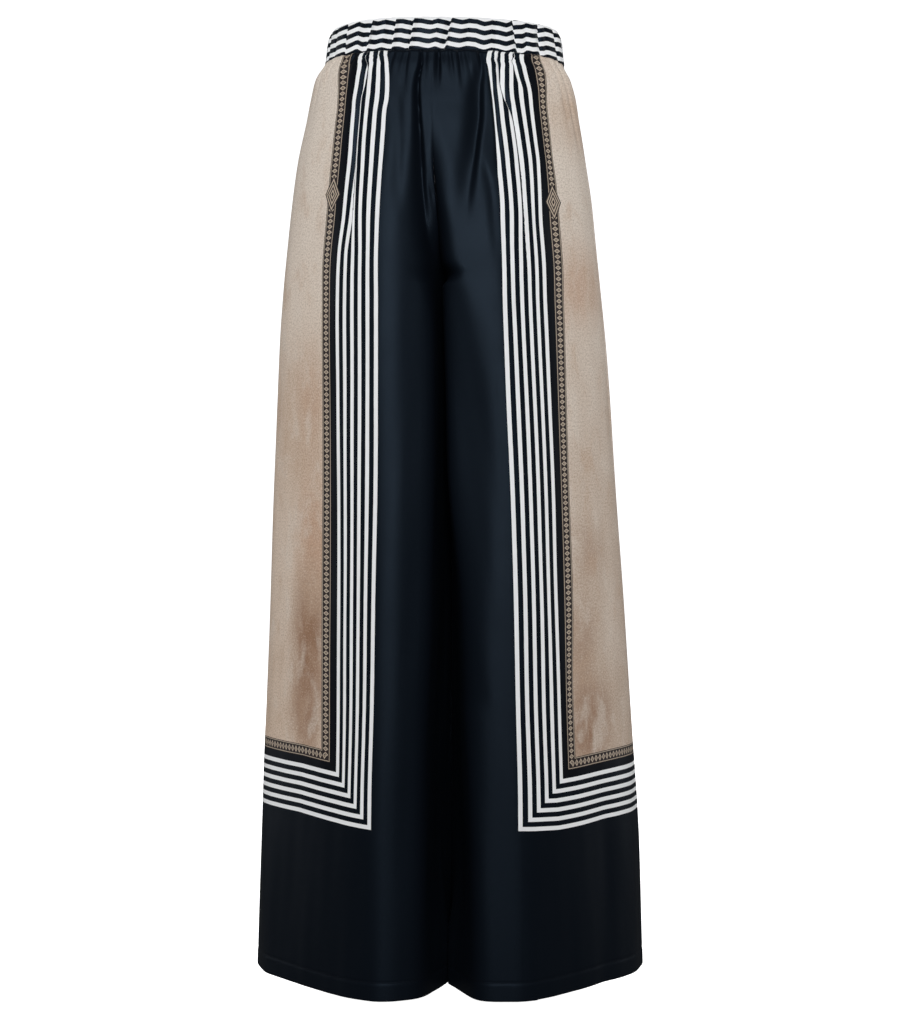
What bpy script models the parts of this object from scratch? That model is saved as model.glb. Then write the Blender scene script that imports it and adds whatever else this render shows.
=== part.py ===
"""Palazzo pants: a wide-legged, pull-on silk trouser, standing open as if worn.

Metres, +Z up. The front faces -Y and the wearer's left is +X. The origin is the centre of
the waist opening, halfway up the waistband. Six closed cloth walls make the garment: the
two halves of the gathered waistband, and a front and a back panel for each leg.

Every wall follows the same horizontal sections. A section is read at a drop, the distance
below the waistband's top edge. Each half of a section runs from the centre-front seam
round the wearer's side to the centre-back seam in four quarters: superellipses next to the
centre plane, Bezier curves round the side. Below the crotch each half closes on itself at
the inseam and becomes a leg.
"""

import math

import bpy
import numpy as np

# ---------------------------------------------------------------- driving dimensions
LENGTH = 1.082  # waistband's top edge to the hem
BAND_HEIGHT = 0.038
CLOTH_WALL = 0.0012
BAND_WALL = 0.0030  # two layers of cloth round the elastic
HEM_WALL = 0.0024  # the cloth turned up once inside
HEM_HEIGHT = 0.020
SEAM_GAP = 0.0003
LEG_GAP = 0.0030  # between the two legs where they hang closest, wall middle to wall middle

RISE_START_FRONT = 0.110  # drop where the front crotch seam starts to curve back
RISE_START_BACK = 0.160
CROTCH_DROP = 0.300
LEGS_PART_DROP = 0.360  # the legs reach their full gap here
SEAM_ADVANCE = 0.016  # the garment sits turned on its axis: one side seam is forward, one back
LEAN_AT_WAIST = 0.174  # the same turn slants the centre plane: x moved for each y
LEAN_OF_LEGS = 0.080
LEAN_END_DROP = 0.560
LEG_PIVOT_Y = -0.080  # where the legs' slanting centre plane crosses x = 0

HEM_RISE = 0.0045  # the hem hangs a little higher at the side than at the front and back
HEM_RISE_START = 0.860
HEM_RISE_SHARES = (0.45, 0.85)  # shares of a panel's width, centre to side, where it rises

# One row for each horizontal section, in metres below and away from the axis. right and
# left: reach to the wearer's right (-X) and left (+X). front and back: depth. side_y: how far
# back the widest point lies. crest_r and crest_l: how far each half's front crest is from the
# centre plane. full_c and full_s: how full the curve from crest to side is at either end,
# 0.55 being round and less being flatter. inner: exponent of the superellipse from the crest
# to the centre plane, 2 being round and more being squarer.
SECTION_COLUMNS = (
    "drop", "right", "left", "front", "back", "side_y",
    "crest_r", "crest_l", "full_c", "full_s", "inner",
)
SECTION_ROWS = (
    (0.000, 0.1305, 0.1280, 0.0820, 0.0720, 0.000, 0.000, 0.000, 0.64, 0.64, 2.3),
    (0.010, 0.1345, 0.1320, 0.0838, 0.0735, 0.000, 0.000, 0.000, 0.64, 0.64, 2.3),
    (0.038, 0.1385, 0.1350, 0.0860, 0.0760, 0.000, 0.004, 0.004, 0.64, 0.64, 2.3),
    (0.056, 0.1500, 0.1440, 0.0920, 0.0870, 0.001, 0.010, 0.010, 0.62, 0.62, 2.3),
    (0.079, 0.1560, 0.1505, 0.0980, 0.0960, 0.002, 0.017, 0.017, 0.58, 0.58, 2.3),
    (0.102, 0.1610, 0.1540, 0.1030, 0.1040, 0.003, 0.025, 0.025, 0.54, 0.55, 2.3),
    (0.149, 0.1715, 0.1610, 0.1090, 0.1140, 0.004, 0.038, 0.038, 0.46, 0.50, 2.3),
    (0.195, 0.1780, 0.1680, 0.1130, 0.1180, 0.005, 0.049, 0.049, 0.40, 0.46, 2.3),
    (0.241, 0.1830, 0.1730, 0.1160, 0.1180, 0.006, 0.056, 0.056, 0.35, 0.43, 2.4),
    (0.300, 0.1885, 0.1795, 0.1180, 0.1160, 0.008, 0.060, 0.062, 0.32, 0.41, 2.5),
    (0.357, 0.1925, 0.1850, 0.1200, 0.1140, 0.009, 0.061, 0.065, 0.30, 0.40, 2.7),
    (0.496, 0.1985, 0.1950, 0.1240, 0.1130, 0.012, 0.062, 0.070, 0.28, 0.38, 2.9),
    (0.658, 0.2040, 0.2065, 0.1290, 0.1150, 0.014, 0.063, 0.076, 0.26, 0.36, 3.0),
    (0.797, 0.2090, 0.2160, 0.1320, 0.1170, 0.016, 0.064, 0.078, 0.25, 0.35, 3.0),
    (0.936, 0.2150, 0.2245, 0.1350, 0.1190, 0.018, 0.065, 0.080, 0.24, 0.35, 3.0),
    (1.082, 0.2195, 0.2285, 0.1370, 0.1210, 0.020, 0.065, 0.080, 0.22, 0.35, 3.0),
)
BACK_FULLNESS = 0.50

# Gathers fold the cloth where the elastic draws it in: one row for each valley. start: its
# distance from the centre seam at the waistband. depth: how far it falls in. reach: how far
# below the waistband it has faded. drift: how far it has moved away from the centre by then.
GATHER_COLUMNS = ("start", "depth", "reach", "drift")
FRONT_RIGHT_GATHERS = (
    (0.008, 0.0020, 0.050, 0.000),
    (0.018, 0.0045, 0.170, -0.010),
    (0.029, 0.0024, 0.050, 0.002),
    (0.045, 0.0028, 0.140, 0.004),
    (0.060, 0.0020, 0.060, 0.004),
    (0.075, 0.0040, 0.160, 0.020),
    (0.094, 0.0022, 0.070, 0.010),
    (0.116, 0.0024, 0.060, 0.012),
    (0.140, 0.0022, 0.070, 0.014),
    (0.166, 0.0026, 0.060, 0.014),
)
FRONT_LEFT_GATHERS = (
    (0.008, 0.0042, 0.060, 0.000),
    (0.022, 0.0024, 0.050, 0.002),
    (0.038, 0.0022, 0.060, 0.002),
    (0.053, 0.0026, 0.150, -0.010),
    (0.069, 0.0032, 0.090, 0.008),
    (0.081, 0.0026, 0.070, 0.008),
    (0.094, 0.0028, 0.080, 0.010),
    (0.110, 0.0020, 0.060, 0.010),
    (0.127, 0.0024, 0.080, 0.010),
    (0.144, 0.0024, 0.070, 0.010),
)
GATHER_WIDTH = 0.0036  # a valley's half width at the waistband
GATHER_SPREAD = 0.05  # and how much wider it grows for each metre below

# The back's gathers follow a rule: evenly spaced, then each moved and changed a little.
BACK_GATHERS_PER_PANEL = 8
BACK_GATHER_SHIFT = 0.22  # in spacings
BACK_GATHER_DEPTH = (0.0028, 0.0010)  # middle value, and how far it varies
BACK_GATHER_REACH = (0.090, 0.050)
BACK_GATHER_DRIFT = 0.06  # of its distance from the seam
BACK_VARIATION = {"back_right": 2.4, "back_left": 3.1}  # radians from one gather to the next
BAND_GATHER_DEPTH = 0.0022
BAND_GATHER_WIDTH = 0.0040
BAND_GATHERS_FADE_IN = (-0.002, 0.008)  # drops: shallow at the folded top edge
BAND_GATHERS_FADE_OUT = 0.030  # drop where they start to soften towards the seam
BAND_GATHERS_AT_SEAM = 0.5  # share of their depth left there

# Large soft creases of the legs, each along a curve from its top to its end. where: 1 for
# the wearer's left leg, -1 for the right. arc_top, arc_mid and arc_end: distance from the side
# seam at the start, halfway and at the end. A depth below 0 makes a ridge.
CREASE_FADE_IN = 0.35  # share of its length over which a crease deepens
CREASE_COLUMNS = ("where", "top", "end", "arc_top", "arc_mid", "arc_end", "depth", "width")
FRONT_CREASES = (
    (1, 0.500, 1.082, 0.325, 0.238, 0.268, 0.0080, 0.024),
    (1, 0.820, 1.082, 0.075, 0.080, 0.090, 0.0030, 0.016),
    (-1, 0.300, 1.082, 0.190, 0.215, 0.240, 0.0025, 0.014),
    (-1, 0.860, 1.082, 0.030, 0.040, 0.052, -0.0030, 0.010),
)
BACK_CREASES = (
    (1, 0.360, 1.082, 0.150, 0.170, 0.200, 0.0040, 0.018),
    (1, 0.700, 1.082, 0.070, 0.076, 0.085, -0.0030, 0.014),
    (-1, 0.360, 1.082, 0.140, 0.175, 0.205, 0.0040, 0.018),
    (-1, 0.640, 1.082, 0.075, 0.078, 0.080, -0.0030, 0.014),
)

# Grid of the walls
COLUMNS_PER_GATHER = 4
PANEL_DROPS = (
    0.038, 0.045, 0.055, 0.070, 0.095, 0.135, 0.185, 0.235, 0.268, 0.288, 0.297,
    0.300, 0.345, 0.460, 0.640, 0.840, 1.0615, 1.0625, 1.082,
)
BAND_DROPS = (0.0, 0.0025, 0.010, 0.022, 0.034, 0.038)
GRID_EASES_FROM = 0.185  # between these drops the columns widen evenly past the crotch
GRID_EASES_TO = 0.345
EDGE_FOLLOWING = 5  # the higher, the fewer columns follow the crotch seam's curve
BAND_EDGE_WALL = 0.0016  # the band thins to its folded top edge and to its stitched seam
BAND_FULL_FROM = 0.006  # between these drops it has its full wall
BAND_FULL_TO = 0.033
SHARPEST_SMOOTH_ANGLE = 50  # degrees: edges that turn more than this stay sharp
SECTION_SAMPLES = 70  # points along each quarter, before they are spaced evenly

COLOURS = {
    "navy_silk": (0.020, 0.030, 0.042, 1.0),
    "striped_silk": (0.300, 0.310, 0.330, 1.0),
}
CLOTH_ROUGHNESS = 0.45

# ---------------------------------------------------------------- tables and easing


def table(columns, rows):
    """The columns of a table as named arrays."""
    return dict(zip(columns, np.array(rows, dtype=float).T))


SECTION = table(SECTION_COLUMNS, SECTION_ROWS)


def section_value(column, drop):
    """One column at any drop: a cubic through the rows that never overshoots them."""
    x, y = SECTION["drop"], SECTION[column]
    rise = np.diff(y) / np.diff(x)
    product = rise[:-1] * rise[1:]
    total = np.where(product > 0, rise[:-1] + rise[1:], 1.0)
    inner = np.where(product > 0, 2 * product / total, 0.0)
    slope = np.concatenate(([rise[0]], inner, [rise[-1]]))
    k = int(np.clip(np.searchsorted(x, drop) - 1, 0, len(x) - 2))
    width = x[k + 1] - x[k]
    t = (drop - x[k]) / width
    start = (2 * t**3 - 3 * t**2 + 1) * y[k] + (t**3 - 2 * t**2 + t) * width * slope[k]
    end = (3 * t**2 - 2 * t**3) * y[k + 1] + (t**3 - t**2) * width * slope[k + 1]
    return start + end


def ease(value, start, end):
    """0 before start, 1 after end, and a smooth S between them."""
    t = np.clip((value - start) / (end - start), 0.0, 1.0)
    return t * t * (3 - 2 * t)


# ---------------------------------------------------------------- the sections


def rise_share(drop, start):
    """How far from the axis the crotch seam lies, as a share of the depth: a quarter ellipse."""
    t = np.clip((drop - start) / (CROTCH_DROP - start), 0.0, 1.0)
    return math.sqrt(1.0 - t * t)


def crest_of(side, drop):
    return section_value("crest_l" if side > 0 else "crest_r", drop)


def reach_of(side, drop):
    return section_value("left" if side > 0 else "right", drop)


def inner_quarter(drop, side, depth, start):
    """From the centre plane to the crest: a superellipse cut off where it meets the plane."""
    n = section_value("inner", drop)
    cut = max((1.0 - rise_share(drop, start) ** n) ** (1.0 / n), 0.02)
    angle = np.linspace(math.acos(cut ** (n / 2)), math.pi / 2, SECTION_SAMPLES)
    gap = LEG_GAP / 2 * ease(drop, CROTCH_DROP, LEGS_PART_DROP)
    crest = crest_of(side, drop)
    x = gap + (crest - gap) * (1.0 - np.cos(angle) ** (2 / n) / cut)
    y = depth * np.sin(angle) ** (2 / n)
    return x, y


def outer_quarter(drop, side, depth, full_c, full_s):
    """From the crest to the widest point of the side: a cubic Bezier curve that leaves the
    crest sideways and reaches the side straight back."""
    crest = crest_of(side, drop)
    width = reach_of(side, drop) - crest
    t = np.linspace(0.0, 1.0, SECTION_SAMPLES)
    x = crest + width * (3 * (1 - t) ** 2 * t * full_c + 3 * (1 - t) * t**2 + t**3)
    y = depth * ((1 - t) ** 3 + 3 * (1 - t) ** 2 * t + 3 * (1 - t) * t**2 * full_s)
    return x, y


def half_section(side, drop):
    """Half of a section, centre front to centre back: points, arc lengths, and the arc length
    at the side seam."""
    side_y = section_value("side_y", drop)
    front, back = section_value("front", drop), section_value("back", drop)
    fullness = section_value("full_c", drop), section_value("full_s", drop)
    back_fullness = (max(fullness[0], BACK_FULLNESS), max(fullness[1], BACK_FULLNESS))
    xa, ya = inner_quarter(drop, side, front, RISE_START_FRONT)
    xb, yb = outer_quarter(drop, side, front + side_y, *fullness)
    xc, yc = outer_quarter(drop, side, back - side_y, *back_fullness)
    xd, yd = inner_quarter(drop, side, back, RISE_START_BACK)
    x = np.concatenate((xa, xb[1:], xc[::-1][1:], xd[::-1][1:]))
    y = np.concatenate((-ya, side_y - yb[1:], side_y + yc[::-1][1:], yd[::-1][1:]))
    points = np.column_stack((x * side, y))
    arc = np.concatenate(([0.0], np.cumsum(np.linalg.norm(np.diff(points, axis=0), axis=1))))
    widest = 2 * SECTION_SAMPLES - 2
    return points, arc, arc[widest] - side * SEAM_ADVANCE


# ---------------------------------------------------------------- gathers and creases


def gathers_of(panel, seam_arc):
    """The gather table of one panel, seam_arc wide."""
    if panel == "front_right":
        return table(GATHER_COLUMNS, FRONT_RIGHT_GATHERS)
    if panel == "front_left":
        return table(GATHER_COLUMNS, FRONT_LEFT_GATHERS)
    k = np.arange(BACK_GATHERS_PER_PANEL)
    turn = BACK_VARIATION[panel]
    place = k + 0.5 + BACK_GATHER_SHIFT * np.sin(turn * k)
    start = seam_arc * place / BACK_GATHERS_PER_PANEL
    depth = BACK_GATHER_DEPTH[0] + BACK_GATHER_DEPTH[1] * np.cos(1.7 * turn * k)
    reach = BACK_GATHER_REACH[0] + BACK_GATHER_REACH[1] * np.cos(2.3 * turn * k)
    return {"start": start, "depth": depth, "reach": reach, "drift": BACK_GATHER_DRIFT * start}


def gather_offset(gathers, arc, drop, spread):
    """How far the gathers move the cloth in (negative) at each arc distance from the centre
    seam: one soft valley each, narrow at the waistband and wider as it fades. spread is the
    panel's width here as a share of its width at the waistband."""
    below = max(drop - BAND_HEIGHT, 0.0)
    offset = np.zeros_like(arc)
    for start, depth, reach, drift in zip(*(gathers[name] for name in GATHER_COLUMNS)):
        centre = start * spread + drift * min(below / reach, 1.0)
        width = GATHER_WIDTH + GATHER_SPREAD * below
        fade = 1.0 - ease(below, 0.0, reach)
        offset -= depth * fade * np.exp(-(((arc - centre) / width) ** 2))
    return offset


def crease_offset(creases, side, from_seam, drop):
    """How far the large creases move the cloth at each arc distance from the side seam. Each
    one's centre follows a parabola through its three arc distances."""
    offset = np.zeros_like(from_seam)
    for where, top, end, arc_top, arc_mid, arc_end, depth, width in creases:
        if where != side or not top <= drop <= end:
            continue
        t = (drop - top) / (end - top)
        bow = arc_mid - (arc_top + arc_end) / 2
        centre = arc_top + (arc_end - arc_top) * t + 4 * bow * t * (1.0 - t)
        strength = ease(t, 0.0, CREASE_FADE_IN)
        offset -= depth * strength * np.exp(-(((from_seam - centre) / width) ** 2))
    return offset


# ---------------------------------------------------------------- walls


def outward_of(along):
    """Level directions at right angles to a path that runs clockwise seen from above."""
    along = along / np.linalg.norm(along, axis=1)[:, None]
    return np.column_stack((along[:, 1], -along[:, 0]))


def panel_width(face, side, drop):
    """Arc length from the centre seam to the side seam."""
    _, arc, side_arc = half_section(side, drop)
    return side_arc if face == "front" else arc[-1] - side_arc


def arc_shares(face, side, drop, share):
    """Where the columns stand at one drop, as shares of the arc. Round the crotch the panel's
    edge runs inwards fast, so the columns widen evenly there and only those next to the edge
    follow it."""
    if not GRID_EASES_FROM < drop < GRID_EASES_TO:
        return share
    start, end = (panel_width(face, side, d) for d in (GRID_EASES_FROM, GRID_EASES_TO))
    real = panel_width(face, side, drop)
    even = start + (end - start) * (drop - GRID_EASES_FROM) / (GRID_EASES_TO - GRID_EASES_FROM)
    from_side = 1.0 - share
    return 1.0 - (from_side * even + (real - even) * from_side**EDGE_FOLLOWING) / real


def wall_line(face, side, drop, share, offset_of):
    """The middle line of a wall from the centre seam to the side seam, at shares of its
    width, with its outward directions. offset_of gives the in and out of the folds."""
    points, arc, side_arc = half_section(side, drop)
    turn = side
    if face == "back":
        points, side_arc, arc = points[::-1], arc[-1] - side_arc, (arc[-1] - arc)[::-1]
        turn = -side
    arcs = SEAM_GAP / 2 + arc_shares(face, side, drop, share) * (side_arc - SEAM_GAP)
    outward = outward_of(np.gradient(points, arc, axis=0)) * turn
    at = [np.interp(arcs, arc, values) for values in (*points.T, *outward.T)]
    middle, outward = np.column_stack(at[:2]), np.column_stack(at[2:])
    offset = offset_of(arcs, side_arc)
    tilt = np.gradient(offset, arcs)
    tilt[[0, -1]] = 0.0
    along = np.column_stack((-outward[:, 1], outward[:, 0])) * turn
    folded = outward - along * tilt[:, None]
    folded /= np.linalg.norm(folded, axis=1)[:, None]
    return middle + outward * offset[:, None], folded


def lean(points, drop, side):
    """The section sheared so that its front moves to -X: fully at the centre plane and not
    at all at the sides. It also keeps the gap between the legs from being seen through."""
    x, y = points.T
    settled = ease(drop, 0.0, LEAN_END_DROP)
    shear = LEAN_AT_WAIST + (LEAN_OF_LEGS - LEAN_AT_WAIST) * settled
    share = np.clip(x * side / reach_of(side, drop), 0.0, 1.0)
    return np.column_stack((x + shear * (y - LEG_PIVOT_Y * settled) * (1.0 - share**2), y))


def hem_lift(drop, share):
    """The hem's rise from the crest to the side, faded out up the leg."""
    return HEM_RISE * ease(share, *HEM_RISE_SHARES) * ease(drop, HEM_RISE_START, LENGTH)


def panel_columns(gathers, seam_arc):
    """Shares of the panel's width where the columns of its grid stand: on each gather's
    valley, on the crest after it, and halfway between them."""
    starts = gathers["start"] / seam_arc
    edges = np.concatenate(([0.0], starts, [1.0]))
    between = np.linspace(0.0, 1.0, COLUMNS_PER_GATHER, endpoint=False)
    columns = (edges[:-1, None] + np.diff(edges)[:, None] * between).ravel()
    return np.append(columns, 1.0)


def wall_thickness(drop):
    """One layer of cloth, or two over the turned-up hem."""
    return HEM_WALL if drop > LENGTH - HEM_HEIGHT else CLOTH_WALL


def waist_gathers(face, side):
    """One panel's gathers, the columns that follow them and its width at the waistband."""
    width = panel_width(face, side, BAND_HEIGHT)
    gathers = gathers_of(f"{face}_{'left' if side > 0 else 'right'}", width)
    return gathers, panel_columns(gathers, width), width


def panel_faces(face, side):
    """Outer and inner points of a panel's wall, as two grids of rows and columns."""
    gathers, columns, width = waist_gathers(face, side)
    creases = FRONT_CREASES if face == "front" else BACK_CREASES
    outer, inner = [], []
    for drop in PANEL_DROPS:
        level = max(drop, BAND_HEIGHT + SEAM_GAP / 2)

        def folds(arcs, side_arc, level=level):
            gathered = gather_offset(gathers, arcs, level, side_arc / width)
            return gathered + crease_offset(creases, side, side_arc - arcs, level)

        middle, outward = wall_line(face, side, level, columns, folds)
        skin = middle + outward * CLOTH_WALL / 2
        over_plane = skin[:, 0] * side < SEAM_GAP / 2
        skin[over_plane, 0] = side * SEAM_GAP / 2
        lining = skin - outward * wall_thickness(level)
        z = BAND_HEIGHT / 2 - level + hem_lift(level, columns)
        outer.append(np.column_stack((lean(skin, level, side), z)))
        inner.append(np.column_stack((lean(lining, level, side), z)))
    return np.array(outer), np.array(inner)


def band_faces(face):
    """Outer and inner points of half of the waistband, from side seam to side seam."""
    walls = {"outer": [], "inner": []}
    for drop in BAND_DROPS:
        level = min(drop, BAND_HEIGHT - SEAM_GAP / 2)
        fade = (1.0 - BAND_GATHERS_AT_SEAM) * ease(drop, BAND_GATHERS_FADE_OUT, BAND_HEIGHT)
        full = ease(drop, *BAND_GATHERS_FADE_IN) * (1.0 - fade)
        swell = ease(drop, 0.0, BAND_FULL_FROM) * (1.0 - ease(drop, BAND_FULL_TO, BAND_HEIGHT))
        half_wall = (BAND_EDGE_WALL + (BAND_WALL - BAND_EDGE_WALL) * swell) / 2
        rows = {"outer": [], "inner": []}
        for side in (-1, 1):
            gathers, columns, _ = waist_gathers(face, side)

            def waves(arcs, _, starts=gathers["start"], depth=BAND_GATHER_DEPTH * full):
                away = (arcs[:, None] - starts[None, :]) / BAND_GATHER_WIDTH
                return -depth * np.exp(-(away**2)).sum(axis=1)

            middle, outward = wall_line(face, side, level, columns, waves)
            order = slice(None, None, -1) if side < 0 else slice(1, None)
            for name, half in (("outer", half_wall), ("inner", -half_wall)):
                skin = lean(middle + outward * half, level, side)
                z = np.full(len(skin), BAND_HEIGHT / 2 - level)
                rows[name].append(np.column_stack((skin, z))[order])
        for name, halves in rows.items():
            walls[name].append(np.concatenate(halves))
    return np.array(walls["outer"]), np.array(walls["inner"])


def close_wall(outer, inner):
    """Vertices and faces of the closed wall between two grids of the same size."""
    rows, columns = outer.shape[:2]
    vertices = np.concatenate((outer.reshape(-1, 3), inner.reshape(-1, 3)))
    index = np.arange(rows * columns).reshape(rows, columns)
    other = index + rows * columns

    def quads(a, b, c, d):
        return np.stack((a.ravel(), b.ravel(), c.ravel(), d.ravel()), axis=1)

    faces = [
        quads(index[:-1, :-1], index[1:, :-1], index[1:, 1:], index[:-1, 1:]),
        quads(other[:-1, :-1], other[:-1, 1:], other[1:, 1:], other[1:, :-1]),
        quads(index[0, :-1], index[0, 1:], other[0, 1:], other[0, :-1]),
        quads(index[-1, :-1], other[-1, :-1], other[-1, 1:], index[-1, 1:]),
        quads(index[:-1, 0], other[:-1, 0], other[1:, 0], index[1:, 0]),
        quads(index[:-1, -1], index[1:, -1], other[1:, -1], other[:-1, -1]),
    ]
    return vertices, np.concatenate(faces)


def signed_volume(vertices, faces):
    """Six times the volume, positive when the faces point out."""
    a, b, c, d = (vertices[faces[:, i]] for i in range(4))
    return np.sum(a * np.cross(b, c)) + np.sum(a * np.cross(c, d))


def cloth_material(name):
    material = bpy.data.materials.new(name)
    material.use_nodes = True
    shader = material.node_tree.nodes["Principled BSDF"]
    shader.inputs["Base Color"].default_value = COLOURS[name]
    shader.inputs["Roughness"].default_value = CLOTH_ROUGHNESS
    shader.inputs["Metallic"].default_value = 0.0
    return material


def add_wall(name, faces_of_wall, material_name):
    vertices, faces = close_wall(*faces_of_wall)
    if signed_volume(vertices, faces) < 0:
        faces = faces[:, ::-1]
    mesh = bpy.data.meshes.new(name)
    mesh.from_pydata(vertices.tolist(), [], faces.tolist())
    mesh.materials.append(cloth_material(material_name))
    mesh.shade_smooth()
    mesh.set_sharp_from_angle(angle=math.radians(SHARPEST_SMOOTH_ANGLE))
    wall = bpy.data.objects.new(name, mesh)
    bpy.context.scene.collection.objects.link(wall)
    return wall


def clear_scene():
    for thing in list(bpy.data.objects):
        bpy.data.objects.remove(thing, do_unlink=True)


def main():
    clear_scene()
    for face in ("front", "back"):
        add_wall(f"waistband_{face}", band_faces(face), "striped_silk")
        for side, name in ((-1, "right"), (1, "left")):
            add_wall(f"{face}_{name}", panel_faces(face, side), "navy_silk")


main()
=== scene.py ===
# %% [markdown]
# # Palazzo pants
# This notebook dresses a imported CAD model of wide-legged, pull-on silk trousers. The CAD gives
# six rigid walls. Here each wall gets a piece of cloth with finer folds, hems, seams and a
# printed pattern, then a studio with a floor, lights and a camera.
#
# Values are in metres, and the rows of the tables in millimetres. +Z is up, the front faces -Y
# and the wearer's left is +X. A side is -1 for the wearer's right and 1 for the left.

# %% Frame and measures
import math

import bpy
import numpy as np
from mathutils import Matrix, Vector


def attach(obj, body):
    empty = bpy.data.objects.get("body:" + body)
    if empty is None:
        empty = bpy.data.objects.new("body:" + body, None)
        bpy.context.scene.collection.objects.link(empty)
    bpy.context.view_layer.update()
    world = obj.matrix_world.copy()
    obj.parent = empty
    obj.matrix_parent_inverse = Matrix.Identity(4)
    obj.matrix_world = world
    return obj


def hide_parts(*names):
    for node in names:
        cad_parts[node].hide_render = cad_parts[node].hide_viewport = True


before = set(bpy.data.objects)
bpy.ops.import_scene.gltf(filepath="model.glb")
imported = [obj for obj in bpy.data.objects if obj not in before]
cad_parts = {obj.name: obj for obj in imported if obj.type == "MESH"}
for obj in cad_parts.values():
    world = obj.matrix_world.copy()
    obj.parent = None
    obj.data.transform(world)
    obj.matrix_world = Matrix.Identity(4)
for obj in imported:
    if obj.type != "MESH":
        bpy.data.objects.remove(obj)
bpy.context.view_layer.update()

MM = 1000.0  # millimetres in a metre


def add_object(name, data):
    """A new object in the scene."""
    made = bpy.data.objects.new(name, data)
    bpy.context.scene.collection.objects.link(made)
    return made


# %% [markdown]
# ## Camera and studio
# The camera looks level along +Y at half the trousers' height, so the waistband is seen from
# below and the hem from above. The backdrop is one sweep: a floor that curves up into a wall.
# It is bright by itself and lights nothing, so it stays plain white behind the cloth.

# %% Camera
CAMERA_PLACE = (0.0046, -2.13, -0.529)
LENS, SENSOR = 65.07, 36.0  # millimetres

camera_data = bpy.data.cameras.new("camera")
camera_data.lens = LENS
camera_data.sensor_width = SENSOR
camera = add_object("camera", camera_data)
camera.location = CAMERA_PLACE
camera.rotation_euler = (math.radians(90), 0.0, 0.0)
bpy.context.scene.camera = camera

# %% Sweep
FLOOR_Z, SWEEP_TOP = -1.1, 4.0
SWEEP_FRONT, SWEEP_BACK = -6.0, 3.0
SWEEP_RADIUS, SWEEP_STEPS = 1.5, 24
SWEEP_HALF_WIDTH = 6.0
PURE_WHITE = (1.0, 1.0, 1.0, 1.0)
SWEEP_FINISH = {
    "Base Color": (0.8, 0.8, 0.8, 1.0), "Roughness": 0.9,
    "Emission Color": PURE_WHITE, "Emission Strength": 1.0,
}


def add_sweep():
    """A floor and wall in one strip: flat, then a quarter circle, then straight up."""
    turn = np.linspace(0.0, math.pi / 2, SWEEP_STEPS)
    bend_y = SWEEP_BACK + SWEEP_RADIUS * np.sin(turn)
    bend_z = FLOOR_Z + SWEEP_RADIUS * (1 - np.cos(turn))
    y = np.concatenate(([SWEEP_FRONT], bend_y, [SWEEP_BACK + SWEEP_RADIUS]))
    z = np.concatenate(([FLOOR_Z], bend_z, [SWEEP_TOP]))
    left, right = (
        np.column_stack((np.full_like(y, x), y, z)) for x in (-SWEEP_HALF_WIDTH, SWEEP_HALF_WIDTH)
    )
    n = len(y)
    faces = [(i, n + i, n + i + 1, i + 1) for i in range(n - 1)]
    mesh = bpy.data.meshes.new("sweep")
    mesh.from_pydata(np.concatenate((left, right)).tolist(), [], faces)
    mesh.shade_smooth()
    material = bpy.data.materials.new("sweep_white")
    material.use_nodes = True
    for key, value in SWEEP_FINISH.items():
        material.node_tree.nodes["Principled BSDF"].inputs[key].default_value = value
    mesh.materials.append(material)
    sweep = add_object("sweep", mesh)
    sweep.visible_diffuse = False
    sweep.visible_glossy = False
    return sweep


add_sweep()

# %% Lights
AIM = Vector((0.0, 0.0, -0.45))
AMBIENT = 0.06
# Name, place, width, height, watts, and whether the silk mirrors it
LIGHTS = (
    ("front", (0.0, -3.0, 0.6), 0.9, 2.2, 91.0, True),
    ("side_left", (-2.5, 0.6, 0.1), 1.0, 2.2, 15.0, True),
    ("side_right", (2.5, 0.6, 0.1), 1.0, 2.2, 14.0, True),
    ("fill_left", (-2.5, 0.6, 0.1), 1.0, 2.2, 24.0, False),
    ("fill_right", (2.5, 0.6, 0.1), 1.0, 2.2, 21.0, False),
    ("back", (0.0, 2.6, 0.85), 0.9, 2.0, 66.0, True),
)

for name, place, width, height, watts, mirrored in LIGHTS:
    lamp = bpy.data.lights.new(name, "AREA")
    lamp.shape = "RECTANGLE"
    lamp.size = width
    lamp.size_y = height
    lamp.energy = watts
    holder = add_object(name, lamp)
    holder.location = place
    holder.rotation_euler = (AIM - Vector(place)).to_track_quat("-Z", "Y").to_euler()
    holder.visible_glossy = mirrored

world = bpy.data.worlds.new("studio")
world.use_nodes = True
background = world.node_tree.nodes["Background"]
background.inputs["Color"].default_value = PURE_WHITE
background.inputs["Strength"].default_value = AMBIENT
bpy.context.scene.world = world
bpy.context.scene.view_settings.view_transform = "Standard"
bpy.context.scene.view_settings.look = "None"

# %% [markdown]
# ## Sections
# The trousers are level sections stacked from waist to hem. A section's place is its drop, the
# distance below the waistband's top edge. Each half runs from the centre-front seam round the
# wearer's side to the centre-back seam. These sizes are the CAD's own.
#
# full_c and full_s: how full the curve is next to the crest and next to the side, from 0 to 1.
# inner: how square the inside turns. These three are plain numbers.

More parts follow.
